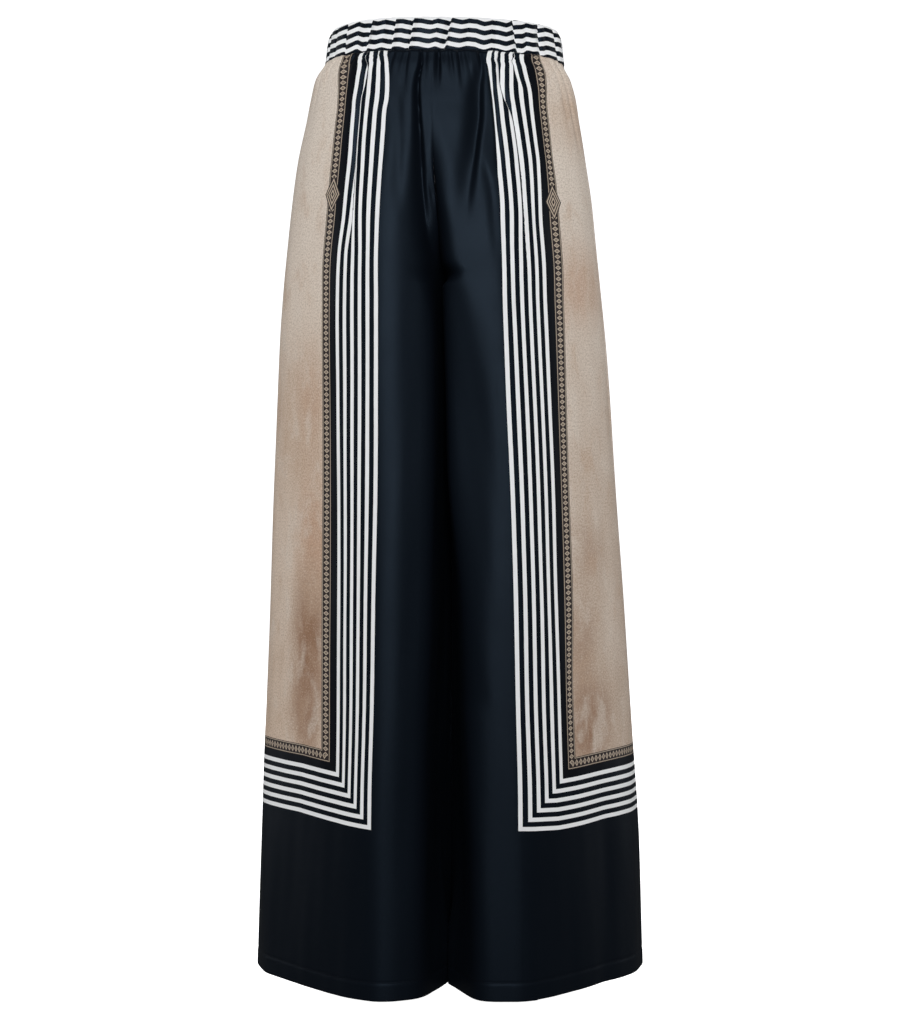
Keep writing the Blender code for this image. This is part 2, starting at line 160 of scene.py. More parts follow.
# %% Section table
BAND_HEIGHT = 0.038
LENGTH = 1.082
SOLID_WALL = 0.0012  # the CAD wall, whose outer face the cloth follows
CLOTH = 0.0006
RISE_START_FRONT, RISE_START_BACK = 0.11, 0.16  # drops where the crotch curve starts
CROTCH_DROP = 0.3
LEGS_PART_DROP = 0.36
LEG_GAP = 0.0016
SEAM_ADVANCE = 0.016  # how far the side seams stand round from the widest point
LEAN_AT_WAIST, LEAN_OF_LEGS = 0.174, 0.08
LEAN_END_DROP = 0.56
LEG_PIVOT_Y = -0.08
HEM_RISE, HEM_RISE_START = 0.0045, 0.86  # the hem lifts towards the sides
HEM_RISE_SHARES = (0.45, 0.85)
BACK_FULLNESS = 0.5
SEAM_GAP = 0.00005
SAMPLES = 110  # points along each quarter of a section
NARROWEST = 0.02  # least share of its superellipse that a quarter keeps

PLAIN_COLUMNS = {"full_c", "full_s", "inner", "corner", "slope"}
SECTION_COLUMNS = (
    "drop", "right", "left", "front", "back", "side_y",
    "crest_r", "crest_l", "full_c", "full_s", "inner",
)
SECTION_ROWS = (
    (0, 130.5, 128, 82, 72, 0, 0, 0, 0.64, 0.64, 2.3),
    (10, 134.5, 132, 83.8, 73.5, 0, 0, 0, 0.64, 0.64, 2.3),
    (38, 138.5, 135, 86, 76, 0, 4, 4, 0.64, 0.64, 2.3),
    (56, 150, 144, 92, 87, 1, 10, 10, 0.62, 0.62, 2.3),
    (79, 156, 150.5, 98, 96, 2, 17, 17, 0.58, 0.58, 2.3),
    (102, 161, 154, 103, 104, 3, 25, 25, 0.54, 0.55, 2.3),
    (149, 171.5, 161, 109, 114, 4, 38, 38, 0.46, 0.5, 2.3),
    (195, 178, 168, 113, 118, 5, 49, 49, 0.4, 0.46, 2.3),
    (241, 183, 173, 116, 118, 6, 56, 56, 0.35, 0.43, 2.4),
    (300, 188.5, 179.5, 118, 116, 8, 60, 62, 0.32, 0.41, 2.5),
    (357, 192.5, 185, 120, 114, 9, 61, 65, 0.3, 0.4, 2.7),
    (496, 198.5, 195, 124, 113, 12, 62, 70, 0.28, 0.38, 2.9),
    (658, 204, 206.5, 129, 115, 14, 63, 76, 0.26, 0.36, 3),
    (797, 209, 216, 132, 117, 16, 64, 78, 0.25, 0.35, 3),
    (936, 215, 224.5, 135, 119, 18, 65, 80, 0.24, 0.35, 3),
    (1082, 219.5, 228.5, 137, 121, 20, 65, 80, 0.22, 0.35, 3),
)


def table(columns, rows):
    """The columns of a table as named arrays, with their lengths in metres."""
    return {
        name: np.array(values) / (1.0 if name in PLAIN_COLUMNS else MM)
        for name, values in zip(columns, zip(*rows))
    }


SECTION = table(SECTION_COLUMNS, SECTION_ROWS)
print("sections:", len(SECTION_ROWS))

# %% [markdown]
# Two small helpers do most of the shaping. `through` is a smooth curve through the rows of a
# table that never overshoots them. `ease` is an S from 0 to 1.

# %% Curves through tables


def through(x, y, at):
    """A cubic through the points (x, y), flat where they turn, read at one place: each stretch
    is a blend of its two ends and of the slopes there."""
    at = min(max(at, x[0]), x[-1])
    rise = np.diff(y) / np.diff(x)
    product = rise[:-1] * rise[1:]
    total = np.where(product > 0, rise[:-1] + rise[1:], 1.0)
    slope = np.concatenate(([rise[0]], np.where(product > 0, 2 * product / total, 0.0), [rise[-1]]))
    k = int(np.clip(np.searchsorted(x, at) - 1, 0, len(x) - 2))
    width = x[k + 1] - x[k]
    t = (at - x[k]) / width
    start = (2 * t**3 - 3 * t**2 + 1) * y[k] + (t**3 - 2 * t**2 + t) * width * slope[k]
    end = (3 * t**2 - 2 * t**3) * y[k + 1] + (t**3 - t**2) * width * slope[k + 1]
    return start + end


def section_value(column, drop):
    """One column of the section table at any drop."""
    return through(SECTION["drop"], SECTION[column], drop)


def ease(value, start, end):
    """0 before start, 1 after end, and a smooth S between them: 3 t squared minus 2 t cubed."""
    t = np.clip((value - start) / (end - start), 0.0, 1.0)
    return t * t * (3 - 2 * t)


# %% Half a section


def rise_share(drop, start):
    """How far out the crotch seam lies, as a share of the depth: a quarter ellipse."""
    t = np.clip((drop - start) / (CROTCH_DROP - start), 0.0, 1.0)
    return math.sqrt(1.0 - t * t)


def crest_of(side, drop):
    return section_value("crest_l" if side > 0 else "crest_r", drop)


def reach_of(side, drop):
    return section_value("left" if side > 0 else "right", drop)


# The inside of each leg's front. corner: how square the turn is, a plain number. inset: how
# far that turn stands from the centre plane.
INSIDE_COLUMNS = ("drop", "corner", "inset_r", "inset_l")
INSIDE_ROWS = (
    (0, 2.3, 0, 0),
    (80, 2.4, 0, 0),
    (102, 3, 0, 0),
    (149, 5.5, 0, 0),
    (205, 8, 0, 0),
    (229, 8, 1, 2),
    (262, 8, 8, 3),
    (276, 7.8, 9.5, 5),
    (290, 7.5, 10, 13),
    (302, 11, 9, 2),
    (357, 14, 6, 1),
    (496, 14, 8, 2),
    (658, 12, 10, 16),
    (797, 10, 16, 21),
    (936, 10, 18, 29),
    (1082, 9, 19, 32),
)
INSIDE = table(INSIDE_COLUMNS, INSIDE_ROWS)
HEM_TOUCH = 0.48  # share of the front's depth up to which the legs touch at the hem
HEM_TOUCH_DROPS = (0.9, 1.06)


def inner_quarter(drop, side, depth, start, front):
    """From the centre plane to the crest: a superellipse cut off where it meets the plane. In
    front its turn stands inset from the plane, and the cloth slants back from there."""
    n, inset = section_value("inner", drop), 0.0
    if front:
        inset = INSIDE["inset_l" if side > 0 else "inset_r"]
        n, inset = (through(INSIDE["drop"], column, drop) for column in (INSIDE["corner"], inset))
    rise = rise_share(drop, start)
    cut = max((1.0 - rise**n) ** (1.0 / n), NARROWEST)
    angle = np.linspace(math.acos(cut ** (n / 2)), math.pi / 2, SAMPLES)
    gap = LEG_GAP / 2 * ease(drop, CROTCH_DROP, LEGS_PART_DROP)
    y = np.sin(angle) ** (2 / n)
    touch = max(rise, HEM_TOUCH * float(ease(drop, *HEM_TOUCH_DROPS)))
    near = gap + inset * np.clip((y - touch) / max(1.0 - touch, 1e-6), 0.0, 1.0)
    x = near + (crest_of(side, drop) - near) * (1.0 - np.cos(angle) ** (2 / n) / cut)
    return x, depth * y


def outer_quarter(drop, side, depth, full_c, full_s):
    """From the crest to the widest point: a Bezier curve, level at one end, straight back at
    the other."""
    crest = crest_of(side, drop)
    width = reach_of(side, drop) - crest
    t = np.linspace(0.0, 1.0, SAMPLES)
    x = crest + width * (3 * (1 - t) ** 2 * t * full_c + 3 * (1 - t) * t**2 + t**3)
    y = depth * ((1 - t) ** 3 + 3 * (1 - t) ** 2 * t + 3 * (1 - t) * t**2 * full_s)
    return x, y


def half_section(side, drop):
    """Points from centre front to centre back, their arc distances, and the side seam's."""
    side_y = section_value("side_y", drop)
    front, back = section_value("front", drop), section_value("back", drop)
    fullness = section_value("full_c", drop), section_value("full_s", drop)
    back_fullness = (max(fullness[0], BACK_FULLNESS), max(fullness[1], BACK_FULLNESS))
    xa, ya = inner_quarter(drop, side, front, RISE_START_FRONT, True)
    xb, yb = outer_quarter(drop, side, front + side_y, *fullness)
    xc, yc = outer_quarter(drop, side, back - side_y, *back_fullness)
    xd, yd = inner_quarter(drop, side, back, RISE_START_BACK, False)
    x = np.concatenate((xa, xb[1:], xc[::-1][1:], xd[::-1][1:]))
    y = np.concatenate((-ya, side_y - yb[1:], side_y + yc[::-1][1:], yd[::-1][1:]))
    points = np.column_stack((x * side, y))
    arc = np.concatenate(([0.0], np.cumsum(np.linalg.norm(np.diff(points, axis=0), axis=1))))
    return points, arc, arc[2 * SAMPLES - 2] - side * SEAM_ADVANCE


def lean(x, y, drop, side):
    """The section sheared: its front moves to -X, fully at the centre and not at the sides."""
    settled = ease(drop, 0.0, LEAN_END_DROP)
    shear = LEAN_AT_WAIST + (LEAN_OF_LEGS - LEAN_AT_WAIST) * settled
    share = np.clip(x * side / reach_of(side, drop), 0.0, 1.0)
    return x + shear * (y - LEG_PIVOT_Y * settled) * (1.0 - share**2)


# %% [markdown]
# ## Folds
# Three kinds of fold shape the cloth. Gathers start at the elastic and fade. Long folds follow a
# path of their own, given row by row: some of them also swallow cloth, so that the printed
# stripes vanish into them. A faint ripple keeps the rest from looking ironed.

# %% Gathers at the waistband
# start: distance from the centre seam at the waistband. reach: how far below it fades out.
# drift: how far it has moved sideways by then.
GATHER_COLUMNS = ("start", "depth", "reach", "drift")
RIGHT_GATHERS = (
    (7.3, 2.2, 45, 0),
    (26, 1.6, 60, 2),
    (34, 1.4, 35, 2),
    (42, 1.2, 50, 4),
    (54, 1.2, 40, 4),
    (64, 1.8, 60, 4),
    (93, 2, 70, 10),
    (106, 1.6, 40, 10),
    (123, 1.8, 60, 12),
    (140, 2.4, 80, 14),
    (158, 1.8, 50, 14),
    (174, 2.6, 70, 10),
)
LEFT_GATHERS = (
    (7.4, 5.2, 52, -1),
    (11.7, 2, 22, 1),
    (19, 2, 45, 3),
    (28, 2.2, 60, 2),
    (36, 1.4, 45, 2),
    (49, 3.6, 30, 0),
    (60, 1.4, 50, 6),
    (98, 1.6, 50, 10),
    (111, 2, 80, 12),
    (124, 2.6, 110, 16),
    (139, 3.4, 140, 20),
    (147, 2.2, 70, 10),
)
GATHERS = {"front_right": RIGHT_GATHERS, "front_left": LEFT_GATHERS}
BACK_GATHERS = 15  # on each back panel, evenly spaced and then each moved a little
BACK_GATHER_TURNS = {"back_right": 2.4, "back_left": 3.1}
BACK_GATHER_DEPTH = (0.0026, 0.0012)  # mean, and how far it goes either side
BACK_GATHER_REACH = (0.085, 0.05)
BACK_GATHER_SWAY, BACK_GATHER_DRIFT = 0.26, 0.06
GATHER_WIDTH, GATHER_SPREAD = 0.0022, 0.04
STEEP_FLANK, GENTLE_FLANK = 1.5, 0.8
SEWN_SHARE, SEWN_REACH = 0.5, 0.008  # the seam holds the gathers flatter than they are below it


def gathers_of(panel, width):
    """One panel's gathers. The back's follow a rule with sines, so that they look uneven."""
    if panel in GATHERS:
        return table(GATHER_COLUMNS, GATHERS[panel])
    k = np.arange(BACK_GATHERS)
    turn = BACK_GATHER_TURNS[panel] * k
    start = width * (k + 0.5 + BACK_GATHER_SWAY * np.sin(turn)) / BACK_GATHERS
    depth = BACK_GATHER_DEPTH[0] + BACK_GATHER_DEPTH[1] * np.cos(1.7 * turn)
    reach = BACK_GATHER_REACH[0] + BACK_GATHER_REACH[1] * np.cos(2.3 * turn)
    return {"start": start, "depth": depth, "reach": reach, "drift": BACK_GATHER_DRIFT * start}


def gather_offset(gathers, arc, drop, spread):
    """Depth of the gathers at each arc distance: a bell-shaped valley each, steeper on one
    side, narrow at the waistband and wider as it fades."""
    below = max(drop - BAND_HEIGHT, 0.0)
    width = GATHER_WIDTH + GATHER_SPREAD * below
    offset = np.zeros_like(arc)
    for k, (start, depth, reach, drift) in enumerate(zip(*(gathers[c] for c in GATHER_COLUMNS))):
        away = (arc - start * spread - drift * min(below / reach, 1.0)) / width
        steep = np.where((away < 0) == (k % 2 == 1), STEEP_FLANK, GENTLE_FLANK)
        offset -= depth * (1.0 - ease(below, 0.0, reach)) * np.exp(-((away * steep) ** 2))
    return offset * (SEWN_SHARE + (1.0 - SEWN_SHARE) * ease(below, 0.0, SEWN_REACH))


# %% Long folds
# arc: distance from the side seam. A depth below 0 makes a ridge. inward and outward: width of
# the flank on the centre's side and on the side seam's side. hidden: width of cloth that the
# fold swallows there.
FOLD_COLUMNS = ("drop", "arc", "depth", "inward", "outward", "hidden")
RIGHT_PLEAT = (  # over the fourth and fifth stripes
    (38, 121.6, 2, 1, 3, 16),
    (44, 123.2, 2.4, 1, 3, 15.5),
    (48.8, 128.8, 2.8, 1, 3, 15.5),
    (54.3, 136.2, 3, 1, 3.2, 16.5),
    (59.1, 139.2, 3, 1, 3.4, 16),
    (68.6, 141.2, 3, 1, 3.6, 15.2),
    (78.1, 142.4, 3, 1, 3.6, 14.6),
    (87.6, 142.8, 3, 1, 3.8, 13.6),
    (97, 144, 3, 1, 3.8, 12.2),
    (115.2, 147.4, 2.8, 1, 4, 11.8),
    (133.4, 150.2, 2.8, 1.1, 4, 11.8),
    (154, 153.2, 2.6, 1.2, 4.2, 11.8),
    (176, 155.8, 2.2, 1.4, 4.4, 10.5),
    (221, 159.2, 1.4, 2.4, 5, 6.5),
    (265, 161, 0, 4, 6, 0),
)
RIGHT_TUCK = (  # a short one, beside the second stripe
    (38, 137.4, 1.6, 1, 2, 3.2),
    (44, 140.2, 1.6, 1, 2, 2.4),
    (48.8, 144.8, 1, 1.2, 2, 1),
    (55, 149.6, 0, 1.6, 2, 0),
)
RIGHT_RIDGE = (  # broad, near the side seam above the hem, slanting inwards
    (780, 32, 0, 30, 15, 0),
    (870, 42, -3, 32, 15, 0),
    (982, 55, -4.4, 36, 17, 0),
    (1082, 66, -4.6, 38, 18, 0),
)
LEFT_PLEAT = (  # slants across the stripes
    (38, 94.8, 1.8, 1, 2.2, 2),
    (44.8, 99.8, 2.2, 1, 2.4, 2.2),
    (48.8, 104, 2.6, 1, 2.6, 3),
    (55.9, 107.4, 2.8, 1, 2.8, 4),
    (65.4, 110.8, 2.8, 1, 3, 4.8),
    (74.1, 113.6, 2.8, 1, 3, 5.4),
    (83.6, 114.8, 2.8, 1, 3, 6),
    (92.3, 114.8, 2.6, 1, 3, 6.2),
    (97, 114, 2.6, 1, 3, 6),
    (101.8, 112.8, 2.6, 1.1, 3, 5.6),
    (111, 111.4, 2.4, 1.1, 3.2, 5.2),
    (120, 111, 2.4, 1.2, 3.4, 4.6),
    (128.7, 111.4, 2.4, 1.2, 3.6, 4.4),
    (146.9, 112.8, 2.2, 1.3, 3.8, 4.2),
    (174.6, 115.6, 1.8, 1.6, 4, 3.2),
    (211, 120.4, 1.4, 2.2, 4.4, 3.6),
    (246.6, 124.6, 1, 3.2, 4.8, 2),
    (290, 129, 0, 5, 6, 0),
)
LEFT_SHORT_PLEAT = (  # over the fifth stripe
    (38, 80.4, 2.2, 1, 2.6, 9.4),
    (42.5, 81.6, 2.4, 1, 2.6, 8),
    (44.8, 83.4, 2.6, 1, 2.8, 7.2),
    (48.8, 89, 2.6, 1, 2.8, 6.6),
    (55.9, 91.4, 2.4, 1.1, 3, 5.6),
    (60.7, 93, 2, 1.2, 3, 4.5),
    (69.4, 94.2, 1.2, 1.8, 3, 2.6),
    (79, 94.8, 0, 2.6, 3, 0),
)
LEFT_LAP = (  # the plain cloth laps over the first stripe
    (44, 113, 0, 1.2, 2, 0.6),
    (48.8, 117.2, 0.8, 1.2, 2, 1),
    (55.9, 118.6, 1.4, 1.2, 2.2, 1.6),
    (65.4, 121.2, 1.8, 1.1, 2.4, 2.4),
    (78.8, 124.2, 2.4, 1.1, 2.6, 3),
    (92.3, 126.6, 2.6, 1.1, 2.8, 3.4),
    (111, 129.7, 2.6, 1.1, 2.8, 3.4),
    (128.7, 132.2, 2.4, 1.2, 3, 3),
    (146.9, 135.3, 1.8, 1.4, 3.2, 2.2),
    (157.2, 137.2, 1.2, 1.8, 3.4, 1.4),
    (180, 141.5, 0, 3, 4, 0),
)
LEFT_HOLLOW = (  # above the hem
    (820, 75, 0, 16, 14, 0),
    (930, 80, 2.2, 16, 14, 0),
    (1082, 90, 2.2, 16, 14, 0),
)
LEFT_RIDGE = (  # broad, near the side seam above the hem
    (780, 30, 0, 40, 20, 0),
    (870, 32, -3, 42, 20, 0),
    (1082, 36, -3.6, 46, 22, 0),
)
LEFT_LINE = (  # soft, beside the stripes, from hip to thigh
    (160, 153, 0, 5, 2, 0),
    (190, 152, 0.9, 5, 2, 0),
    (240, 156, 0.9, 5, 2, 0),
    (290, 162, 0, 6, 3, 0),
)

# %% Long folds of the back
BACK_RIGHT_HOLLOW = (
    (360, 140, 0, 18, 18, 0),
    (600, 170, 4, 18, 18, 0),
    (1082, 205, 4, 18, 18, 0),
)
BACK_RIGHT_RIDGE = (
    (640, 75, 0, 14, 14, 0),
    (800, 78, -3, 14, 14, 0),
    (1082, 80, -3, 14, 14, 0),
)
BACK_RIGHT_PLEAT = (
    (38, 95, 3, 2.2, 2.2, 8),
    (90, 106, 2.8, 2.4, 2.4, 7),
    (160, 115, 2, 3, 3, 6),
    (240, 120, 0, 5, 5, 0),
)
BACK_LEFT_HOLLOW = (
    (360, 150, 0, 18, 18, 0),
    (600, 168, 4, 18, 18, 0),
    (1082, 200, 4, 18, 18, 0),
)
BACK_LEFT_RIDGE = (
    (700, 70, 0, 14, 14, 0),
    (840, 75, -3, 14, 14, 0),
    (1082, 85, -3, 14, 14, 0),
)
BACK_LEFT_PLEAT = (
    (38, 80, 3, 2.2, 2.2, 7),
    (80, 93, 3, 2.4, 2.4, 7),
    (150, 101, 2.2, 3, 3, 5),
    (220, 106, 0, 5, 5, 0),
)
FOLDS = {
    ("front", -1): (RIGHT_PLEAT, RIGHT_TUCK, RIGHT_RIDGE),
    ("front", 1): (
        LEFT_PLEAT, LEFT_SHORT_PLEAT, LEFT_LAP, LEFT_HOLLOW, LEFT_RIDGE, LEFT_LINE,
    ),
    ("back", -1): (BACK_RIGHT_HOLLOW, BACK_RIGHT_RIDGE, BACK_RIGHT_PLEAT),
    ("back", 1): (BACK_LEFT_HOLLOW, BACK_LEFT_RIDGE, BACK_LEFT_PLEAT),
}

# %% Folds near the centre
# These go by their distance off the centre plane.
PLANE_FOLD_COLUMNS = ("drop", "off", "depth", "inward", "outward")
CROTCH_GATHER = (  # long and deep, down into the crotch
    (38, 11, 2, 1.2, 1.6),
    (54, 11.4, 5.6, 1.4, 2.2),
    (61, 12.4, 5.8, 1.5, 2.6),
    (70, 14.4, 5.8, 1.7, 3),
    (82, 15.5, 6, 1.8, 3.4),
    (112, 14.6, 6.4, 2, 4.4),
    (146, 13.6, 7, 2.4, 5.8),
    (190, 12.8, 7.2, 3, 8.2),
    (222, 10.5, 7, 4, 11),
    (245, 8.5, 5, 5, 12),
    (275, 6.5, 0, 6, 12),
)
SOFT_HOLLOW = (  # between that gather and the stripes
    (85, 37, 0, 6, 7),
    (120, 37, 1.4, 6, 8),
    (180, 39, 1.4, 6, 8),
    (225, 42, 0, 6, 8),
)
SHADE_LEAF = (  # from the waist to the hip, sharp on its outer side
    (46, 50, 0, 6, 2),
    (66, 52.2, 3.2, 8, 3),
    (80, 50.8, 4.4, 9.5, 3.3),
    (110, 50.6, 6, 12.5, 3.4),
    (146, 46.2, 6.8, 12.5, 3.6),
    (185, 39.2, 4.2, 12, 5.5),
    (215, 34.5, 1.8, 13, 6),
    (240, 32, 0, 14, 7),
)
PLANE_FOLDS = {("front", -1): (CROTCH_GATHER, SOFT_HOLLOW), ("front", 1): (SHADE_LEAF,)}

# %% Shoulders
# A shoulder is a line past which the cloth falls back towards the centre, as it does from the
# front of a leg to its inside. off: the line's distance from the centre plane. slope: how
# steeply it falls, a plain number. soft: width of the turn.
SHOULDER_COLUMNS = ("drop", "off", "slope", "soft")
RIGHT_SHOULDER = (
    (100, 33, 0, 3),
    (154, 34, 0.1, 3),
    (240, 40, 0.34, 3.5),
    (319, 44, 0.4, 4),
    (538, 47, 0.44, 4),
    (756, 50, 0.46, 4.5),
    (936, 55, 0.48, 5),
    (1082, 55, 0.48, 5),
)
LEFT_SHOULDER = (
    (283, 26, 0, 4),
    (299, 30, 0.28, 4),
    (320, 36, 0.32, 4.5),
    (357, 44, 0.34, 5),
    (450, 53, 0.38, 4.5),
    (538, 54, 0.4, 4.5),
    (658, 50, 0.46, 4.5),
    (756, 49, 0.4, 4.5),
    (1082, 50, 0.34, 4.5),
)
THIGH_CREASE = (  # thin, slanting across the inside of the thigh
    (540, 8, 0, 1),
    (580, 18, 0.12, 1),
    (650, 29, 0.14, 1),
    (750, 52, 0.12, 1),
    (775, 56, 0, 1),
)
SHOULDERS = {("front", -1): (RIGHT_SHOULDER,), ("front", 1): (LEFT_SHOULDER, THIGH_CREASE)}
SHOULDER_LIMIT = 0.02
SHOULDER_FADE = 0.012  # shortest arc from the centre seam along which it builds up
SHOULDER_FULL = 0.9  # share of the leg's inside along which it builds up

# %% Reading the paths


def at_drop(tables, columns, drop):
    """The values at one drop of each path that passes it, in the order of its columns."""
    for rows in tables:
        path = table(columns, rows)
        if path["drop"][0] <= drop <= path["drop"][-1]:
            yield [through(path["drop"], path[name], drop) for name in columns[1:]]


def valley(away, depth, inward, outward):
    """A bell-shaped valley with a width for each flank: inward where away is above 0."""
    return -depth * np.exp(-((away / np.where(away > 0, inward, outward)) ** 2))


def fold_offset(folds, from_seam):
    """Depth of the long folds at each distance from the side seam."""
    return sum(
        (valley(from_seam - arc, *shape) for arc, *shape, _ in folds), np.zeros_like(from_seam)
    )


def plane_fold_offset(face, side, drop, off):
    """The same for the folds near the centre, from each point's distance off the plane."""
    folds = at_drop(PLANE_FOLDS.get((face, side), ()), PLANE_FOLD_COLUMNS, drop)
    return sum((valley(place - off, *shape) for place, *shape in folds), np.zeros_like(off))


def shoulder_fall(face, side, drop, off, arcs):
    """How far back each point falls past the shoulder lines: 0 before a line, then a straight
    slope, rounded where they meet. All the falls together stay under a limit. At the centre
    seam there is none: it builds up along the leg's inside, before the front."""
    fall = np.zeros_like(off)
    lines = at_drop(SHOULDERS.get((face, side), ()), SHOULDER_COLUMNS, drop)
    for place, slope, soft in lines:
        fall += slope * soft * np.log1p(np.exp(np.clip((place - off) / soft, -30, 30)))
    fall = SHOULDER_LIMIT * np.tanh(fall / SHOULDER_LIMIT)
    inside = section_value("front", drop) * (1.0 - rise_share(drop, RISE_START_FRONT))
    return fall * ease(arcs, 0.0, max(SHOULDER_FULL * inside, SHOULDER_FADE))


# %% [markdown]
# The ripple is a sum of slow waves along the cloth. Each wave has its own length across, its own
# length down and its own phase, so that nothing repeats.

# %% Ripple and seams
PUFF = 0.0048  # how far the gathered cloth puffs out just below the waistband
PUFF_END = 0.1
PUFF_FROM_SEAM = (0.01, 0.07)
RIPPLE = (  # height, turns per metre across, turns per metre down, phase
    (0.00022, 14.0, 1.3, 0.4),
    (0.00012, 31.0, -2.1, 1.9),
    (0.00006, 47.0, 3.4, 3.1),
    (0.0002, 9.0, 4.2, 4.4),
)
RIPPLE_FADE = 0.06
SEAM_DIP, SEAM_WIDTH = 0.001, 0.0013  # cloth turns in at every seam
CENTRE_SEAM_SHARE, CENTRE_SEAM_DROPS = 0.15, (0.14, 0.24)  # the centre seam's, above the hips
PUCKER = 0.00025  # the seam thread draws the cloth up a little, every 9 mm
PUCKER_STEP = 0.009
HEM_HEIGHT = 0.02
HEM_SWELL, HEM_SWELL_FADE = 0.0003, 0.002  # the turned-up cloth inside the hem
HEM_GROOVE, HEM_GROOVE_WIDTH = 0.0004, 0.0012
HEM_EDGE, HEM_EDGE_WIDTH = 0.0005, 0.0006  # how far its fold rounds in


def ripple(from_seam, drop, phase):
    """The sum of the waves at one drop, absent at the waistband's own seam."""
    total = np.zeros_like(from_seam)
    for height, across, down, start in RIPPLE:
        total += height * np.sin(2 * math.pi * (across * from_seam + down * drop) + start + phase)
    return total * ease(drop, BAND_HEIGHT, BAND_HEIGHT + RIPPLE_FADE)


def puff_offset(from_seam, drop):
    """The puff: a sine hump down the cloth, highest near the band, absent at the side seam."""
    t = np.clip((drop - BAND_HEIGHT) / (PUFF_END - BAND_HEIGHT), 0.0, 1.0)
    return PUFF * math.sin(math.pi * t ** (1 / 4)) * ease(from_seam, *PUFF_FROM_SEAM)


def seam_offset(arc, width, drop):
    """Dips along both of a panel's edges, with a fine pucker along them. The centre seam lies
    flatter above the hips."""
    wave = 1.0 + PUCKER / SEAM_DIP * math.sin(2 * math.pi * drop / PUCKER_STEP)
    centre, side = (np.exp(-((away / SEAM_WIDTH) ** 2)) for away in (arc, width - arc))
    share = CENTRE_SEAM_SHARE + (1 - CENTRE_SEAM_SHARE) * float(ease(drop, *CENTRE_SEAM_DROPS))
    return -SEAM_DIP * wave * (share * centre + side)


def hem_offset(drop):
    """The doubled hem stands out a little, with a groove where it is stitched."""
    above = LENGTH - drop
    swell = float(ease(-above, -HEM_HEIGHT, HEM_SWELL_FADE - HEM_HEIGHT))
    groove = math.exp(-(((above - HEM_HEIGHT) / HEM_GROOVE_WIDTH) ** 2))
    edge = math.exp(-above / HEM_EDGE_WIDTH)
    return HEM_SWELL * swell - HEM_GROOVE * groove - HEM_EDGE * edge


# %% [markdown]
# ## The print on the cloth
# The print is drawn in its own flat measures. `across` is 0 at the white stripe nearest the
# wearer's centre and grows towards the side seam. `up` is 0 at the lowest white stripe and
# grows towards the waist. The guide says where some of the print's lines lie on the hanging
# cloth, as distances from the side seam, and everything between them follows.

# %% Print guide
STRIPE_PITCH, STRIPE_WIDTH = 0.01, 0.0046
STRIPES = 6
FIRST_CENTRE = STRIPE_WIDTH / 2
LAST_CENTRE = FIRST_CENTRE + (STRIPES - 1) * STRIPE_PITCH
PANEL_EDGE = 0.076  # where the beige panel starts
GUIDE_LINES = {  # what the columns of the guide follow, across the print
    -1: (FIRST_CENTRE, FIRST_CENTRE + 2 * STRIPE_PITCH, LAST_CENTRE, PANEL_EDGE),
    1: (STRIPE_WIDTH, STRIPE_PITCH, 3 * STRIPE_PITCH + STRIPE_WIDTH, LAST_CENTRE, PANEL_EDGE),
}
# Each row: drop, then each line's distance from the side seam
RIGHT_GUIDE = (
    (38, 145.2, 126.9, 115, 86),
    (42, 148.1, 130.2, 116, 87.8),
    (44, 149.5, 131.4, 116.8, 89),
    (46, 152.1, 133.9, 119, 90.3),
    (49, 155.8, 136.4, 121.7, 92),
    (54, 161.3, 141.9, 127, 95),
    (59, 164.4, 143.8, 129.3, 97.2),
    (69, 169.3, 147, 131, 100.8),
    (78, 172.6, 149.2, 132.5, 103.7),
    (88, 176, 152, 133.8, 106.5),
    (97, 178.3, 153.8, 135.3, 109),
    (106, 179.1, 155.5, 137.6, 110.6),
    (132, 184.4, 160.3, 142.5, 114.5),
    (154, 187.7, 163.8, 145.8, 116.6),
    (176, 189.9, 166.7, 147.3, 117.5),
    (221, 192.9, 170.4, 147.8, 118.2),
    (265, 195.3, 174.9, 144.8, 117.5),
    (320, 199.2, 178.3, 146.2, 121.5),
    (430, 204.2, 184, 152.5, 128.1),
    (539, 208.8, 188.2, 159.9, 134),
    (648, 212.6, 193.3, 165.8, 138.2),
    (756, 216.8, 197.8, 171, 144.2),
    (840, 219.5, 200.8, 174.5, 149),
    (900, 222.5, 203.5, 177.5, 152),
)
